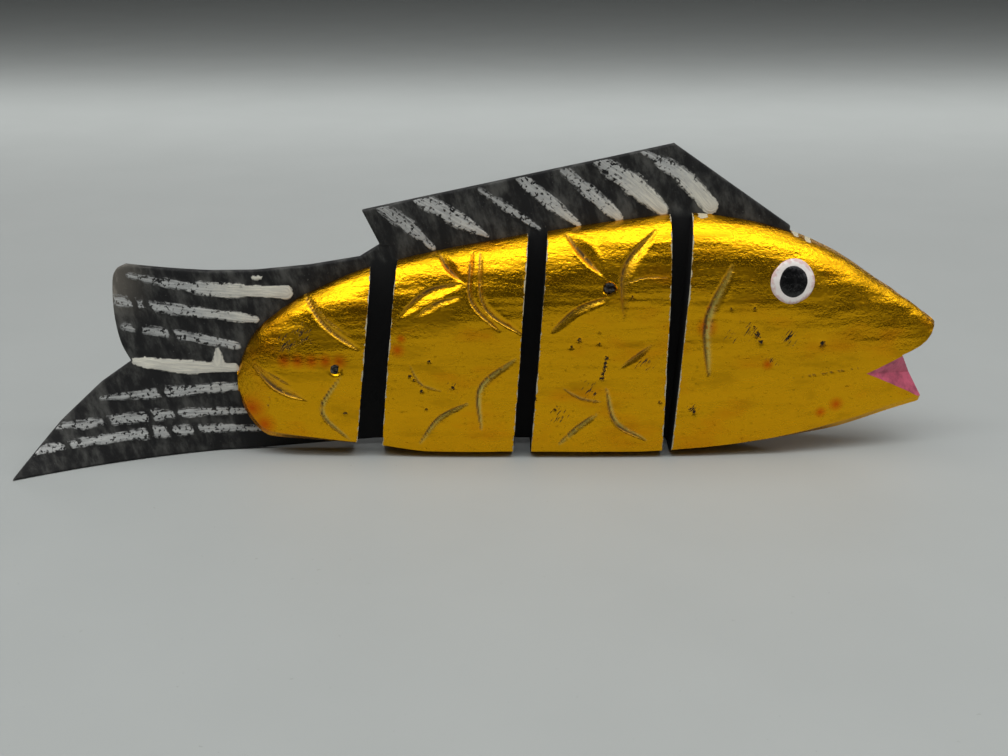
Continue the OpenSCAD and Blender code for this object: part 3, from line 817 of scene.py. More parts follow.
def close_ring(first, count, centre, rings, points, faces, slots, slot, flip):
    """Fills a ring of points towards a centre with smaller and smaller rings"""
    ring = np.array(points[first:first + count])
    before = first
    for k in range(1, rings):
        share = 1 - k / rings
        start = len(points)
        points.extend((centre + (ring - centre) * share).tolist())
        for j in range(count):
            n = (j + 1) % count
            face = (before + j, before + n, start + n, start + j)
            faces.append(face[::-1] if flip else face)
            slots.append(slot)
        before = start
    middle = len(points)
    points.append(list(centre))
    for j in range(count):
        n = (j + 1) % count
        face = (before + j, before + n, middle)
        faces.append(face[::-1] if flip else face)
        slots.append(slot)


def tube(name, rings, materials, caps):
    """A closed mesh from rings of points. The first material is the skin's and the second the
    sawn ends'. caps gives how many rings fill each end"""
    count = rings.shape[1]
    points = rings.reshape(-1, 3).tolist()
    faces = []
    slots = []
    for i in range(len(rings) - 1):
        for j in range(count):
            n = (j + 1) % count
            faces.append((i * count + j, i * count + n, (i + 1) * count + n, (i + 1) * count + j))
            slots.append(0)
    last = (len(rings) - 1) * count
    for first, flip in ((0, True), (last, False)):
        centre = np.array(points[first:first + count]).mean(0)
        close_ring(first, count, centre, caps, points, faces, slots, 1, flip)
    return new_piece(name, points, faces, materials, slots)


def mark_wear(made, form, block, cuts, local=None):
    """Stores where the foil is worn, for the material: edges, marks, pits, smudges and chips"""
    mesh = made.data
    at = points_of(mesh) if local is None else local
    flat = at[:, [0, 2]]
    edge = np.full(len(at), 9.0)
    for cut in cuts:
        edge = np.minimum(edge, np.abs(at[:, 0] - at_cut(cut, at[:, 2])))
    hold(mesh, "edge_mm", edge)
    _, dark, pale = gouge_depth(block, flat)
    hold(mesh, "score", dark)
    hold(mesh, "pale", pale)
    hold(mesh, "scratch", spots(SCRATCHES, flat))
    hold(mesh, "shoulder", smooth_step(flat[:, 1] - crest_z(form, flat[:, 0]), -24, -10))
    hold(mesh, "pit", spots(PITS, flat))
    hold(mesh, "smudge", spots(SMUDGES, flat))
    hold(mesh, "chip", spots(CHIPS, flat) * smooth_step(flat[:, 1] - crest_z(form, flat[:, 0]), -1.4, -0.7))


def swing(points, form, share=1.0):
    """Sets points aside as the tail is set at rest, by a share of the full turn"""
    angle = form.turn * np.asarray(share)
    x = points[..., 0] - form.hinge
    c, s = np.cos(angle), np.sin(angle)
    return np.stack([form.hinge + c * x - s * points[..., 1], s * x + c * points[..., 1],
                     points[..., 2]], axis=-1)


def mirrored(grid):
    """The same skin on the other side, with its points in the other order round"""
    return (grid * [1, -1, 1])[:, ::-1]


def half_block(form, block, side, seed, looks):
    """One carved half block. side is 1 on the fish's left and -1 on its right"""
    names = {"tail": ("tail_end", "tail_front"), "rear": ("rear_rear", "rear_front"),
             "middle": ("middle_rear", "middle_front")}
    a, b = (form.cuts[n] for n in names[block])
    inner = form.sheet_t / 2 + form.glue
    grid = skin(form, a, b, inner, 1.6 if block == "tail" else 1.0)
    nail = (nail_at(block, form), NAIL_POCKETS[block]) if side < 0 and block in NAIL_POCKETS else None
    grid = wander(carve(grid, block, seed, nail), form, a, b, seed + 9)
    grid[:, [0, -1], 1] = inner
    grid[..., 1] = np.maximum(grid[..., 1], inner)
    wall = np.linspace(grid[:, -1], grid[:, 0], 14)[1:-1].transpose(1, 0, 2)
    rings = np.concatenate([grid, wall], axis=1)
    if side < 0:
        rings = mirrored(rings)
    label = "left" if side > 0 else "right"
    made = tube(f"carved_{block}_{label}", rings, looks, 10)
    local = points_of(made.data)
    sawn = [b] if block == "tail" else [a, b]
    mark_wear(made, form, block, sawn, local)
    if block == "tail":
        turned = swing(local, form)
        made.data.vertices.foreach_set("co", (turned * MM).ravel())
        made.data.update()
    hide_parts(f"{block}_block_{label}")
    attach(made, block)
    return made


# ---------------------------------------------------------------- operators

class FISH_OT_half_blocks(bpy.types.Operator):
    """Carves the six half blocks of the tail, rear and middle"""
    bl_idname = "fish.half_blocks"
    bl_label = "Half Blocks"

    def execute(self, context):
        form = make_form()
        looks = (gold_foil(), sawn_paint())
        for i, block in enumerate(("tail", "rear", "middle")):
            for side in (-1, 1):
                half_block(form, block, side, 20 * i + 5 * (side > 0) + 1, looks)
        return {"FINISHED"}


def round_lips(grid, cut, radius):
    """Rounds off the last stretch of the head, so that its crest meets the upper lip softly"""
    away = np.clip(at_cut(cut, grid[..., 2]) - grid[..., 0], 0, radius)
    drop = radius - np.sqrt(radius ** 2 - (radius - away) ** 2)
    low = grid[..., 2].min(1, keepdims=True)
    high = grid[..., 2].max(1, keepdims=True)
    share = (grid[..., 2] - low) / (high - low)
    out = grid.copy()
    out[..., 2] -= drop * share ** 4
    out[..., 1] *= 1 - 0.4 * drop / np.abs(grid[..., 1]).max(1, keepdims=True)
    return out


def cutter(name, points, faces, look):
    """A closed solid that is cut away from another, and leaves its own finish on the cut"""
    mesh = bpy.data.meshes.new(name)
    mesh.from_pydata([[v * MM for v in p] for p in points], [], faces)
    mesh.materials.append(look)
    made = bpy.data.objects.new(name, mesh)
    bpy.context.scene.collection.objects.link(made)
    return made


def prism(name, outline, half, look):
    """A cutter of constant outline in x and z, from -half to half in y"""
    n = len(outline)
    points = [(x, y, z) for y in (-half, half) for x, z in outline]
    faces = [list(range(n)), list(range(2 * n - 1, n - 1, -1))]
    faces += [[i, i + n, (i + 1) % n + n, (i + 1) % n] for i in range(n)]
    return cutter(name, points, faces, look)


def cut_away(made, tools):
    """Cuts the tools out of a piece, applies it and removes the tools"""
    for tool in tools:
        step = made.modifiers.new(tool.name, "BOOLEAN")
        step.operation = "DIFFERENCE"
        step.solver = "EXACT"
        step.material_mode = "TRANSFER"
        step.object = tool
    graph = bpy.context.evaluated_depsgraph_get()
    mesh = bpy.data.meshes.new_from_object(made.evaluated_get(graph))
    made.modifiers.clear()
    work = bmesh.new()
    work.from_mesh(mesh)
    bmesh.ops.dissolve_degenerate(work, edges=work.edges, dist=0.000002)
    work.to_mesh(mesh)
    work.free()
    made.data = mesh
    for tool in tools:
        bpy.data.objects.remove(tool)


# In mm: how far the cuts reach past the wood, the kerf's lowest and highest points (both outside the
# wood), how far it reaches past the rubber, and how much further back its front edge is at the foot
PAST = 30
KERF_LOW = -9
KERF_HIGH = 99
KERF_PAST = 0.4
FRONT_SLANT = 5
# The mouth in mm from its corner: the notch's apex, how far the side gouges reach, and where the
# crease between them, their top and their foot are
NOTCH_APEX = (10.3, 4.2)
GOUGE_REACH = 21.6
CREASE_DROP = 2.6
GOUGE_TOP = 31
GOUGE_FOOT = 29
LOWER_LIP_ANGLE = -62
# The upper lip curves up to the tip of the snout: how far in mm, and at what angle
UPPER_LIP = ((2.6, 22), (2.6, 28), (2.2, 38), (2.0, 52), (PAST, 64))


def mouth_tools(form, look):
    """The through notch at the lips and a gouge from each side to the mouth's corner"""
    size = bpy.context.scene.fish_sizes
    high = mm(size.mouth_h)
    corner_x = at_cut(form.cuts["lips"], high) - mm(size.mouth_l)
    apex = np.array([corner_x + NOTCH_APEX[0], high + NOTCH_APEX[1]])

    def onward(start, far, angle):
        turn = math.radians(angle)
        return start + far * np.array([math.cos(turn), math.sin(turn)])

    lower = onward(apex, PAST, LOWER_LIP_ANGLE)
    outline = [apex]
    for far, angle in UPPER_LIP:
        outline.append(onward(outline[-1], far, angle))
    tools = [prism("mouth_notch", [lower] + outline[::-1], mm(size.body_w) / 2, look)]
    far = corner_x + GOUGE_REACH
    out = mm(size.body_w) / 2
    side = float(line_at(form.plan, corner_x)) + 0.1
    for way in (1, -1):
        points = [(corner_x, way * side, high), (far, -way * mm(size.snout_w) / 2, high - CREASE_DROP),
                  (far, way * out, high + GOUGE_TOP), (far, way * out, high - GOUGE_FOOT)]
        faces = [(0, 2, 1), (0, 1, 3), (0, 3, 2), (1, 2, 3)]
        if way > 0:
            faces = [f[::-1] for f in faces]
        tools.append(cutter(f"mouth_gouge_{way}", points, faces, look))
    return tools


class FISH_OT_head(bpy.types.Operator):
    """Carves the head with its mouth and the kerf for the rubber"""
    bl_idname = "fish.head"
    bl_label = "Head"

    def execute(self, context):
        form = make_form()
        tints = context.scene.fish_colours
        pink = enamel("pink_enamel_of_the_mouth", tints.mouth, tints.mouth_dark, 3.0, 0.35, 0.3)
        looks = (bpy.data.materials["gold_foil_on_carved_wood"],
                 bpy.data.materials["black_paint_on_sawn_wood"], pink)
        a, b = form.cuts["head_rear"], form.cuts["lips"]
        left = wander(carve(skin(form, a, b, 0.0), "head", 91), form, a, a, 95)
        right = wander(carve(skin(form, a, b, 0.0), "head", 101), form, a, a, 105)
        for grid in (left, right):
            grid[:, [0, -1], 1] = 0
        radius = mm(context.scene.fish_sizes.lip_round)
        left, right = (round_lips(grid, b, radius) for grid in (left, right))
        both = (left[:, [0, -1]] + right[:, [0, -1]]) / 2
        left[:, [0, -1]] = right[:, [0, -1]] = both
        rings = np.concatenate([left, (right * [1, -1, 1])[:, -2:0:-1]], axis=1)
        made = tube("carved_head", rings, looks, 12)
        front = mm(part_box("head_rubber")[1].x) + KERF_PAST
        foot = front - FRONT_SLANT
        brow = mm(context.scene.fish_sizes.brow_h)
        outline = [(a[0] - PAST, KERF_LOW), (foot, KERF_LOW), (foot, 0), (front, brow),
                   (front, KERF_HIGH), (a[0] - PAST, KERF_HIGH)]
        kerf = prism("kerf", outline, form.sheet_t / 2 + form.glue, looks[1])
        cut_away(made, [kerf] + mouth_tools(form, pink))
        made.data.shade_smooth()
        made.data.set_sharp_from_angle(angle=math.radians(38))
        mark_wear(made, form, "head", [a])
        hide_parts("head_block")
        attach(made, "head")
        return {"FINISHED"}


# Brush strokes on the rubber: start and end in mm along and up, bow, half widths at start, middle
# and end, how wet the brush was at start and end, and where it skipped.
BACK_STROKES = [
    ((-55, 65), (-42, 54), -0.5, (2.6, 2.6, 0.9), (0.15, 0.45), ()),
    ((-45, 67), (-28, 57), 0, (2.2, 2.9, 0.6), (0.35, 0.6), ()),
    ((-30, 69), (-15, 59), 0, (1.2, 1.8, 0.8), (0.1, 0.45), ()),
    ((-20, 72), (-5, 60), 0, (1.6, 2.3, 0.9), (0.3, 0.7), ()),
    ((-10, 75), (5, 62), 0, (1.6, 2.2, 1.3), (0.2, 0.7), ()),
    ((-1, 77), (16, 64), -0.5, (2.2, 3.0, 1.6), (0.35, 0.95), ()),
    ((10, 79), (28, 65), -1.5, (0.9, 2.5, 2.0), (0.25, 1.0), ()),
]
TAIL_STROKES = [
    ((-119, 48), (-80, 43), 1, (1.3, 2.0, 1.7), (0.1, 1.2), ()),
    ((-124, 42), (-88, 36), 0, (1.9, 1.9, 1.2), (0.15, 0.75), (0.16, 0.25)),
    ((-121, 35), (-93, 29), -0.5, (1.8, 2.2, 1.3), (0.1, 0.5), (0.12, 0.42)),
    ((-119, 26), (-94, 23), 0.5, (1.2, 1.9, 1.3), (0.85, 1.2), ()),
    ((-98, 28), (-98, 24), 0, (0.6, 1.2, 1.6), (1.0, 1.0), ()),
    ((-128, 17), (-92, 18), 0, (1.0, 2.1, 1.1), (0.15, 0.6), (0.42,)),
    ((-139, 11), (-90, 11), -0.5, (1.5, 2.2, 1.0), (0.15, 0.5), (0.24, 0.46, 0.6)),
    ((-145, 6), (-88, 6), -1, (1.2, 2.2, 1.1), (0.35, 0.4), (0.14, 0.5, 0.59, 0.7)),
    ((-88, 47), (-86, 47), 0, (0.6, 0.9, 0.5), (0.9, 0.9), ()),
]


def brush(at, strokes):
    """Paint at points along and up: run along and across a stroke, load and wetness"""
    run = np.zeros((len(at), 3))
    load = np.zeros(len(at))
    wet = np.zeros(len(at))
    for i, (start, end, bow, halves, (first, final), skips) in enumerate(strokes):
        line = bowed(start, end, bow)
        near = np.all((at > line.min(0) - 5) & (at < line.max(0) + 5), axis=1)
        if not near.any():
            continue
        distance, across, along, total = beside(line, at[near])
        t = along / max(total, 0.1)
        where = np.column_stack([along, across, np.full(len(t), 9.0 * i)])
        edge = np.interp(t, (0, 0.5, 1), halves)
        ragged = 0.22 * lumps(where, (2.5, 9, 5), 60 + i) + 0.12 * lumps(where, (0.8, 4, 5), 80 + i)
        edge = edge * (1 + ragged)
        here = np.clip(1.6 - 1.3 * distance / edge, 0, 1)
        # The upper side of a stroke has less paint than its lower side.
        here = np.where(here > 0, np.clip(here - 0.22 * (across / edge > 0.15), 0, 1), 0)
        for skip in skips:
            slant = along - skip * total + 0.5 * across + 0.7 * lumps(where, (2, 1.2, 5), 99)
            here = here * smooth_step(np.abs(slant), 0.35, 1.0)
        better = here > load[near]
        index = np.flatnonzero(near)[better]
        load[index] = here[better]
        wet[index] = (first + (final - first) * t ** 1.3)[better]
        run[index] = (where + [90.0 * i, 0, 0])[better]
    return run, load, wet


def inside(outline, at):
    """Whether each point is inside a closed outline"""
    out = np.zeros(len(at), bool)
    for (x0, z0), (x1, z1) in zip(outline, np.roll(outline, -1, axis=0)):
        if z0 == z1:
            continue
        crosses = (z0 > at[:, 1]) != (z1 > at[:, 1])
        out ^= crosses & (at[:, 0] < x0 + (x1 - x0) * (at[:, 1] - z0) / (z1 - z0))
    return out


def densify(outline, step):
    """The outline with points no more than a step apart"""
    out = []
    for p, q in zip(outline, np.roll(outline, -1, axis=0)):
        n = max(1, math.ceil(np.hypot(*(q - p)) / step))
        out.extend(p + (q - p) * t for t in np.arange(n) / n)
    return np.array(out)


def sheet(name, outline, seams, place, strokes, form, look, painted_sheen=None):
    """A piece of the rubber sheet. place puts points x, y, z of the flat sheet where they are. Along
    its seams, where it runs on in another piece, its edge has no bevel."""
    size = bpy.context.scene.fish_sizes
    step = mm(size.sheet_step)
    bevel = mm(size.sheet_edge)
    rim = densify(np.array(outline, float), step * 1.2)
    low, high = rim.min(0), rim.max(0)
    rows = np.arange(low[1], high[1], step * 0.866)
    cols = np.arange(low[0], high[0], step)
    at = np.array([(x + (j % 2) * step / 2, z) for j, z in enumerate(rows) for x in cols])
    at = at[inside(rim, at)]
    clear = np.full(len(at), 9.0)
    for p in rim:
        clear = np.minimum(clear, np.hypot(*(at - p).T))
    at = at[clear > 0.7 * step]
    n = len(rim)
    both = np.vstack([rim, at])
    edges = [(i, (i + 1) % n) for i in range(n)]
    verts, _, faces, source, _, _ = geometry.delaunay_2d_cdt(
        [Vector(p) for p in both], edges, [], 1, 1e-5)
    flat = np.array([tuple(v) for v in verts])
    # A face wound the other way would turn its side of the sheet inside out.
    faces = [list(f) for f in faces]
    faces = [f if np.cross(flat[f[1]] - flat[f[0]], flat[f[2]] - flat[f[0]]) > 0 else f[::-1]
             for f in faces]
    index = {}
    for i, origin in enumerate(source):
        for o in origin:
            index[o] = i
    ring = [index[i] for i in range(n)]
    half = form.sheet_t / 2
    tangent = np.roll(rim, -1, axis=0) - np.roll(rim, 1, axis=0)
    turn = np.sign(np.sum(rim[:, 0] * np.roll(rim[:, 1], -1) - np.roll(rim[:, 0], -1) * rim[:, 1]))
    inward = turn * np.column_stack([-tangent[:, 1], tangent[:, 0]])
    inward /= np.maximum(np.hypot(*inward.T), 1e-9)[:, None]
    pulled = flat.copy()
    sewn = np.zeros(n, bool)
    for seam in seams:
        sewn |= beside(seam, rim)[0] < 0.02
    pulled[ring] = rim + inward * np.where(sewn, 0, bevel)[:, None]
    run, load, wet = brush(flat, strokes)
    relief = mm(size.stroke_t) * smooth_step(load, 0.15, 0.5) * np.clip(0.3 + wet, 0, 1)
    count = len(flat)
    points = []
    for way in (1, -1):
        points.append(np.column_stack([pulled[:, 0], way * (half + relief), pulled[:, 1]]))
    for way in (1, -1):
        points.append(np.column_stack([rim[:, 0], np.full(n, way * (half - bevel)), rim[:, 1]]))
    points = np.vstack(points)
    all_faces = [f[::-1] for f in faces] + [[i + count for i in f] for f in faces]
    top, bottom = 2 * count, 2 * count + n
    for i in range(n):
        j = (i + 1) % n
        quads = [(ring[i], ring[j], top + j, top + i), (top + i, top + j, bottom + j, bottom + i),
                 (bottom + i, bottom + j, count + ring[j], count + ring[i])]
        for quad in quads:
            all_faces.append(list(quad if turn > 0 else quad[::-1]))
    wave = 0.22 * lumps(points * [1, 0, 1], (16, 5, 13), 7)
    free = smooth_step(points[:, 2], 62, 72)
    points[:, 1] += wave * free
    made = new_piece(name, place(points), all_faces, [look], sharp=50)
    again = np.concatenate([np.arange(count), np.arange(count), ring, ring])
    hold(made.data, "stroke", run[again], "FLOAT_VECTOR")
    face = np.concatenate([np.ones(2 * count), np.zeros(2 * n)])
    hold(made.data, "load", load[again] * face)
    hold(made.data, "wet", wet[again])
    # Where the piece has one, the mask of its painted sheen, a grazing reflection painted into the rubber's
    # colour.
    hold(made.data, "painted_sheen", painted_sheen(flat)[again] if painted_sheen else np.zeros(len(again)))
    # The rubber counts as open above the crest and behind the tail block, where dust lies; the rest, down in
    # the saw gaps, stays dark as painted shade.
    above = smooth_step(flat[:, 1] - crest_z(form, flat[:, 0]), -1.5, 1)
    behind = smooth_step(form.cuts["tail_end"][0] - flat[:, 0], -2, 2)
    hold(made.data, "open", np.maximum(above, behind)[again])
    return made


def fin_bend(x, z, form, top):
    """How far the tail fin curls aside at its rest: low down to the right, at the top to the left"""
    back = np.maximum(form.root_x - x, 0)
    v = np.clip(z / top, 0, 1)
    return 0.006 * back ** 2 * v - (0.14 * back + 0.0031 * back ** 2) * (1 - v)


# The rubber's outline in mm: the back fin's rear corner ahead of the tail block's sawn face and
# above the peduncle, the notch under it, how high the rubber in the gaps starts, and the length of
# the tail fin's lower and upper lobe
FIN_REAR_AHEAD = 3.8
FIN_REAR_RISE = 14.3
NOTCH_AHEAD = 4.3
NOTCH_RISE = 5.4
WEB_LIFT = 1.8
LOWER_LOBE = 51
UPPER_LOBE = 25


class FISH_OT_rubber(bpy.types.Operator):
    """Cuts the rubber sheet in four stretches: the tail fin and three that each reach across one gap"""
    bl_idname = "fish.rubber"
    bl_label = "Rubber Sheet"

    def execute(self, context):
        form = make_form()
        size = context.scene.fish_sizes
        look = tube_rubber()
        cuts = form.cuts
        peduncle = mm(size.peduncle_h)
        corner_x = cuts["tail_front"][0] + FIN_REAR_AHEAD
        notch = (corner_x + NOTCH_AHEAD, peduncle + NOTCH_RISE)
        rear_corner = (corner_x, peduncle + FIN_REAR_RISE)
        peak_x, peak_z = cuts["head_rear"][0] - 1, mm(CAD_BOX[1].z)
        fin_front = mm(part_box("head_rubber")[1].x)
        foot = fin_front - FRONT_SLANT
        top = mm(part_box("tail_fin")[1].z)
        end = cuts["tail_end"][0]
        strip_top = peduncle + 0.4
        lip = WEB_LIFT

        def top_at(x):
            share = (x - rear_corner[0]) / (peak_x - rear_corner[0])
            return rear_corner[1] + (peak_z - rear_corner[1]) * share

        def under(x):
            return float(belly_z(form, np.array(x)))

        # The tail fin, its flexing strip and the strip's root under the tail block
        root, lower, upper = form.root_x, LOWER_LOBE, UPPER_LOBE
        seam = end + 6
        tail_seam = [(seam, 0.4), (seam, strip_top - 1)]
        lobe = curve_through([
            (root - upper + 3.6, 25.8), (root - upper + 1.2, 31), (root - upper, 38),
            (root - upper, top - 5), (root - upper + 0.9, top - 1.6), (root - upper + 3.6, top),
        ], 5)
        tail_outline = [
            (seam, 0.4), (root, 0.2), (root - lower, 0.2), (root - lower + 11, 11.6),
            (root - lower + 21.6, 20.6), *map(tuple, lobe), (root, top - 1.6),
            (seam, strip_top - 1),
        ][::-1]

        def curled(points):
            out = points.copy()
            out[:, 1] += fin_bend(points[:, 0], points[:, 2], form, top)
            return swing(out, form)

        # The tail fin's painted sheen: a grazing reflection painted on the upper lobe near its curled
        # corner.
        def tail_painted_sheen(at):
            return smooth_step(-at[:, 0], 112, 124) * smooth_step(at[:, 1], 34, 46)

        fin = sheet("rubber_tail_fin", tail_outline, [tail_seam], curled, TAIL_STROKES, form, look,
                    tail_painted_sheen)
        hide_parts("tail_fin", "fin_web")
        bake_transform(fin)

        # The stretch in the tail block and across the first gap, up to the notch in the back fin
        split = at_cut(cuts["rear_rear"], 30) + 8
        rear_seam = [(split, lip), (split, notch[1]), notch]
        tail_stretch = [
            (seam, 0.4), (cuts["tail_front"][0], 1.5), (cuts["rear_rear"][0], lip), *rear_seam,
            (corner_x - 1, peduncle + 2.2), (end + 20, strip_top), (seam, strip_top - 1),
        ]

        def turned(points):
            front = at_cut(cuts["tail_front"], points[:, 2])
            back = at_cut(cuts["rear_rear"], points[:, 2])
            return swing(points, form, 1 - smooth_step(points[:, 0], front, back))

        tail = sheet("rubber_tail", tail_stretch, [tail_seam, rear_seam], turned, TAIL_STROKES, form,
                     look)
        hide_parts("tail_rubber", "tail_web")
        self.bend(tail, "rear", "tail", cuts["rear_rear"], cuts["tail_front"])

        # The back fin over the rear block, and the stretch across the middle gap
        middle_x = 0.0
        front_seam = [(middle_x, lip), (middle_x, top_at(middle_x))]
        rear_stretch = [
            (split, lip), (cuts["rear_front"][0], lip), *front_seam, rear_corner, notch,
            (split, notch[1]),
        ]

        def straight(points):
            return points

        rear = sheet("rubber_rear", rear_stretch, [rear_seam, front_seam], straight, BACK_STROKES,
                     form, look)
        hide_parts("rear_rubber", "waist_web")
        self.bend(rear, "rear", "middle", cuts["rear_front"], cuts["middle_rear"])

        # The back fin over the middle block and the head, and the stretch across the neck
        front_stretch = [
            (middle_x, lip), (cuts["head_rear"][0], lip), (foot, under(foot)),
            (fin_front, mm(size.brow_h) - 2), (fin_front, mm(size.brow_h) + 1), (peak_x, peak_z),
            (middle_x, top_at(middle_x)),
        ]
        front = sheet("rubber_front", front_stretch, [front_seam], straight, BACK_STROKES, form, look)
        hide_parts("middle_rubber", "neck_web", "head_rubber")
        self.bend(front, "middle", "head", cuts["middle_front"], cuts["head_rear"])
        return {"FINISHED"}

    @staticmethod
    def bend(piece, a, b, cut_a, cut_b):
        """Bakes the piece's placement into its points"""
        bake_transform(piece)


def paint_spot(name, head, centre, radius, thick, wobble, seed, look, tall=1.0, edge_power=5):
    """A raised spot of thick paint that follows the head's side"""
    rings, count = 16, 96
    angles = np.linspace(0, 2 * np.pi, count, endpoint=False)
    circle = np.column_stack([np.cos(angles), np.sin(angles), angles * 0]) * 2
    shape = 1 + wobble * lumps(circle, (1, 1, 1), seed)
    way = math.copysign(1, centre[1])

    def on_side(x, z):
        start = Vector((x, way * 30, z)) * MM
        hit, place, _, _ = head.ray_cast(start, Vector((0, -way, 0)))
        if not hit:
            raise RuntimeError(f"{name} has no wood under it")
        return mm(place.y)

    points, faces = [], []
    top = []
    for k in range(rings + 1):
        share = k / rings
        lift = thick * (1 - share ** edge_power) ** 0.5
        ring = []
        for angle, grow in zip(angles, shape) if k else [(0.0, 1.0)]:
            x = centre[0] + radius * share * grow * math.cos(angle)
            z = centre[2] + radius * tall * share * grow * math.sin(angle)
            ring.append(len(points))
            points.append((x, on_side(x, z) + way * (lift + 0.02), z))
        top.append(ring)
    rim = top[-1]
    under = []
    for i in rim:
        x, y, z = points[i]
        under.append(len(points))
        points.append((x, y - way * 0.25, z))
    middle = len(points)
    x, y, z = points[0]
    points.append((x, y - way * (thick + 0.3), z))
    for j in range(count):
        n = (j + 1) % count
        faces.append((top[0][0], top[1][j], top[1][n]))
        for k in range(1, rings):
            faces.append((top[k][j], top[k + 1][j], top[k + 1][n], top[k][n]))
        faces.append((rim[j], under[j], under[n], rim[n]))
        faces.append((under[j], middle, under[n]))
    if way > 0:
        faces = [f[::-1] for f in faces]
    made = new_piece(name, points, faces, [look], sharp=60)
    away = np.hypot(*(np.array(points)[:, [0, 2]] - [centre[0], centre[2]]).T) / radius
    hold(made.data, "rim", smooth_step(away, 0.7, 1.0))
    return made


# How far forward and down the eye sits from its CAD place, in mm
EYE_SHIFT = 0.4


class FISH_OT_eyes(bpy.types.Operator):
    """Lays on the raised paint of both eyes"""
    bl_idname = "fish.eyes"
    bl_label = "Eyes"

    def execute(self, context):
        size = context.scene.fish_sizes
        tints = context.scene.fish_colours
        white = enamel("white_enamel_of_the_eye", tints.eye_white, tints.eye_pink, 1.3, 0.3, 0.12,
                       (0.62, 0.85))
        black = enamel("black_enamel_of_the_pupil", tints.pupil, linear("#1E1D1E"), 1.3, 0.12, 0.12)
        head = bpy.data.objects["carved_head"]
        context.view_layer.update()
        for label, way in (("right", -1), ("left", 1)):
            low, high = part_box(f"pupil_{label}")
            centre = [mm(v) / 2 for v in low + high]
            centre = [centre[0] + EYE_SHIFT, way * 10, centre[2] - EYE_SHIFT]
            ring = paint_spot(f"eye_white_{label}_paint", head, centre, mm(size.eye_d) / 2,
                              mm(size.paint_t), 0.03, 31 + way, white, 0.96)
            spot = [centre[0] + 0.1, centre[1], centre[2] + 0.1]
            dot = paint_spot(f"pupil_{label}_paint", head, spot, mm(size.pupil_d) / 2 * 0.99,
                             mm(size.paint_t) + 0.2, 0.03, 51 + way, black, 1.05, 3)
            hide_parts(f"eye_white_{label}")
            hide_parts(f"pupil_{label}")
            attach(ring, "head")
            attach(dot, "head")
        return {"FINISHED"}


class FISH_OT_nails(bpy.types.Operator):
    """Gives the two nails their blackened steel"""
    bl_idname = "fish.nails"
    bl_label = "Nails"

    def execute(self, context):
        steel = nail_steel()
        for name in ("middle_nail", "tail_nail"):
            for slot in frame["nodes"][name].material_slots:
                slot.material = steel
        return {"FINISHED"}


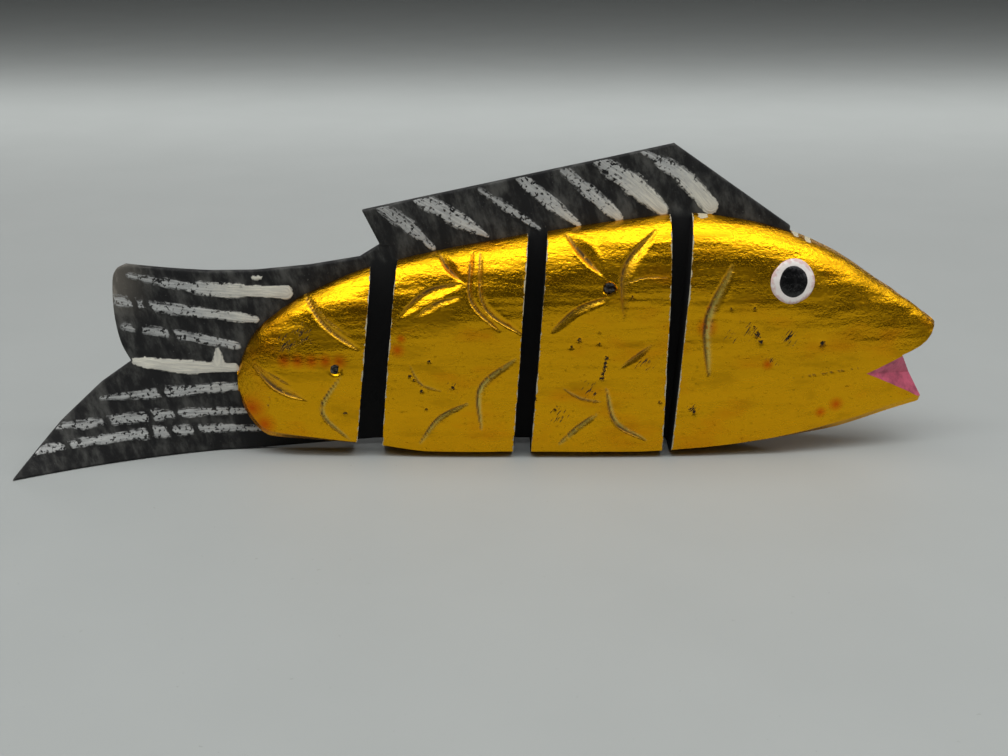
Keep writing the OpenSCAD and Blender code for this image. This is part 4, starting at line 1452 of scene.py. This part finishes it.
class FISH_OT_stage(bpy.types.Operator):
    """Sets up the floor, the lamps and the camera"""
    bl_idname = "fish.stage"
    bl_label = "Stage"

    def execute(self, context):
        scene = context.scene
        made, tree, shader = material("matt_laminate_table_top")
        tone = ramp(tree, pattern(tree, 45, 4), 0.3, 0.7, 0.0, 0.35)
        speck = ramp(tree, pattern(tree, 1.6, 2), 0.74, 0.76, 0.0, 0.35)
        base = blend_colour(tree, tone, scene.fish_colours.floor, linear("#A3A7A5"))
        tree.links.new(blend_colour(tree, speck, base, linear("#7C7C78")), shader.inputs["Base Color"])
        shader.inputs["Roughness"].default_value = 0.55
        reach, back, rise, bend_r = 1.5, 1.4, 0.9, 0.4
        profile = [(-reach, 0.0), (back, 0.0)]
        profile += [(back + bend_r * math.sin(a), bend_r * (1 - math.cos(a)))
                    for a in np.radians(np.arange(10, 91, 10))]
        profile.append((back + bend_r, rise))
        points = [(mm(x), mm(y), mm(z)) for y, z in profile for x in (-reach, reach)]
        faces = [(2 * i, 2 * i + 1, 2 * i + 3, 2 * i + 2) for i in range(len(profile) - 1)]
        floor = new_piece("table_top", points, faces, [made], sharp=60)

        self.lamp("ceiling_softbox", (0.25, -0.22, 0.8), (3.0, 1.06), 12.0, (0.25, -0.22, 0))
        self.lamp("ceiling_lamp", (0.1, -0.27, 0.79), (1.6, 0.14), 4.0, (0.1, -0.27, 0))
        self.lamp("back_strip", (0, 0.52, 0.2), (2.2, 0.1), 2.3, (0, 0.52, 0))

        world = bpy.data.worlds.new("dim_room")
        world.use_nodes = True
        world.node_tree.nodes["Background"].inputs[0].default_value = linear("#B9BCBC")
        world.node_tree.nodes["Background"].inputs[1].default_value = 0.09
        scene.world = world
        scene.view_settings.view_transform = "Standard"

        camera = bpy.data.objects.new("camera", bpy.data.cameras.new("camera"))
        camera.data.lens = 52
        camera.data.sensor_width = 36
        camera.location = (-0.0240, -0.3601, 0.1494)
        camera.rotation_euler = (math.radians(70), 0, 0)
        scene.collection.objects.link(camera)
        scene.camera = camera
        return {"FINISHED"}

    @staticmethod
    def lamp(name, place, size, power, target):
        """A rectangular softbox that faces its target"""
        data = bpy.data.lights.new(name, "AREA")
        data.shape = "RECTANGLE"
        data.size, data.size_y = size
        data.energy = power
        lamp = bpy.data.objects.new(name, data)
        lamp.location = place
        lamp.rotation_euler = (Vector(target) - Vector(place)).to_track_quat("-Z", "Y").to_euler()
        bpy.context.scene.collection.objects.link(lamp)


class FISH_PT_panel(bpy.types.Panel):
    """Lists the fish's pieces, sizes and colours"""
    bl_label = "Wiggling Fish"
    bl_idname = "FISH_PT_panel"
    bl_space_type = "VIEW_3D"
    bl_region_type = "UI"
    bl_category = "Fish"

    def draw(self, context):
        for made in OPERATORS:
            self.layout.operator(made.bl_idname)
        for group in (context.scene.fish_sizes, context.scene.fish_colours):
            box = self.layout.box()
            for name in group.bl_rna.properties.keys():
                if name not in ("rna_type", "name"):
                    box.prop(group, name)


OPERATORS = (FISH_OT_stage, FISH_OT_half_blocks, FISH_OT_head, FISH_OT_rubber, FISH_OT_eyes,
             FISH_OT_nails)
CLASSES = (FishSizes, FishColours) + OPERATORS + (FISH_PT_panel,)


def register():
    for made in CLASSES:
        bpy.utils.register_class(made)
    bpy.types.Scene.fish_sizes = PointerProperty(type=FishSizes)
    bpy.types.Scene.fish_colours = PointerProperty(type=FishColours)


def unregister():
    del bpy.types.Scene.fish_colours
    del bpy.types.Scene.fish_sizes
    for made in reversed(CLASSES):
        bpy.utils.unregister_class(made)


def main():
    """Builds every piece in order"""
    register()
    bpy.ops.fish.stage()
    bpy.ops.fish.half_blocks()
    bpy.ops.fish.head()
    bpy.ops.fish.rubber()
    bpy.ops.fish.eyes()
    bpy.ops.fish.nails()
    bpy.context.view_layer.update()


if __name__ == "__main__":
    main()
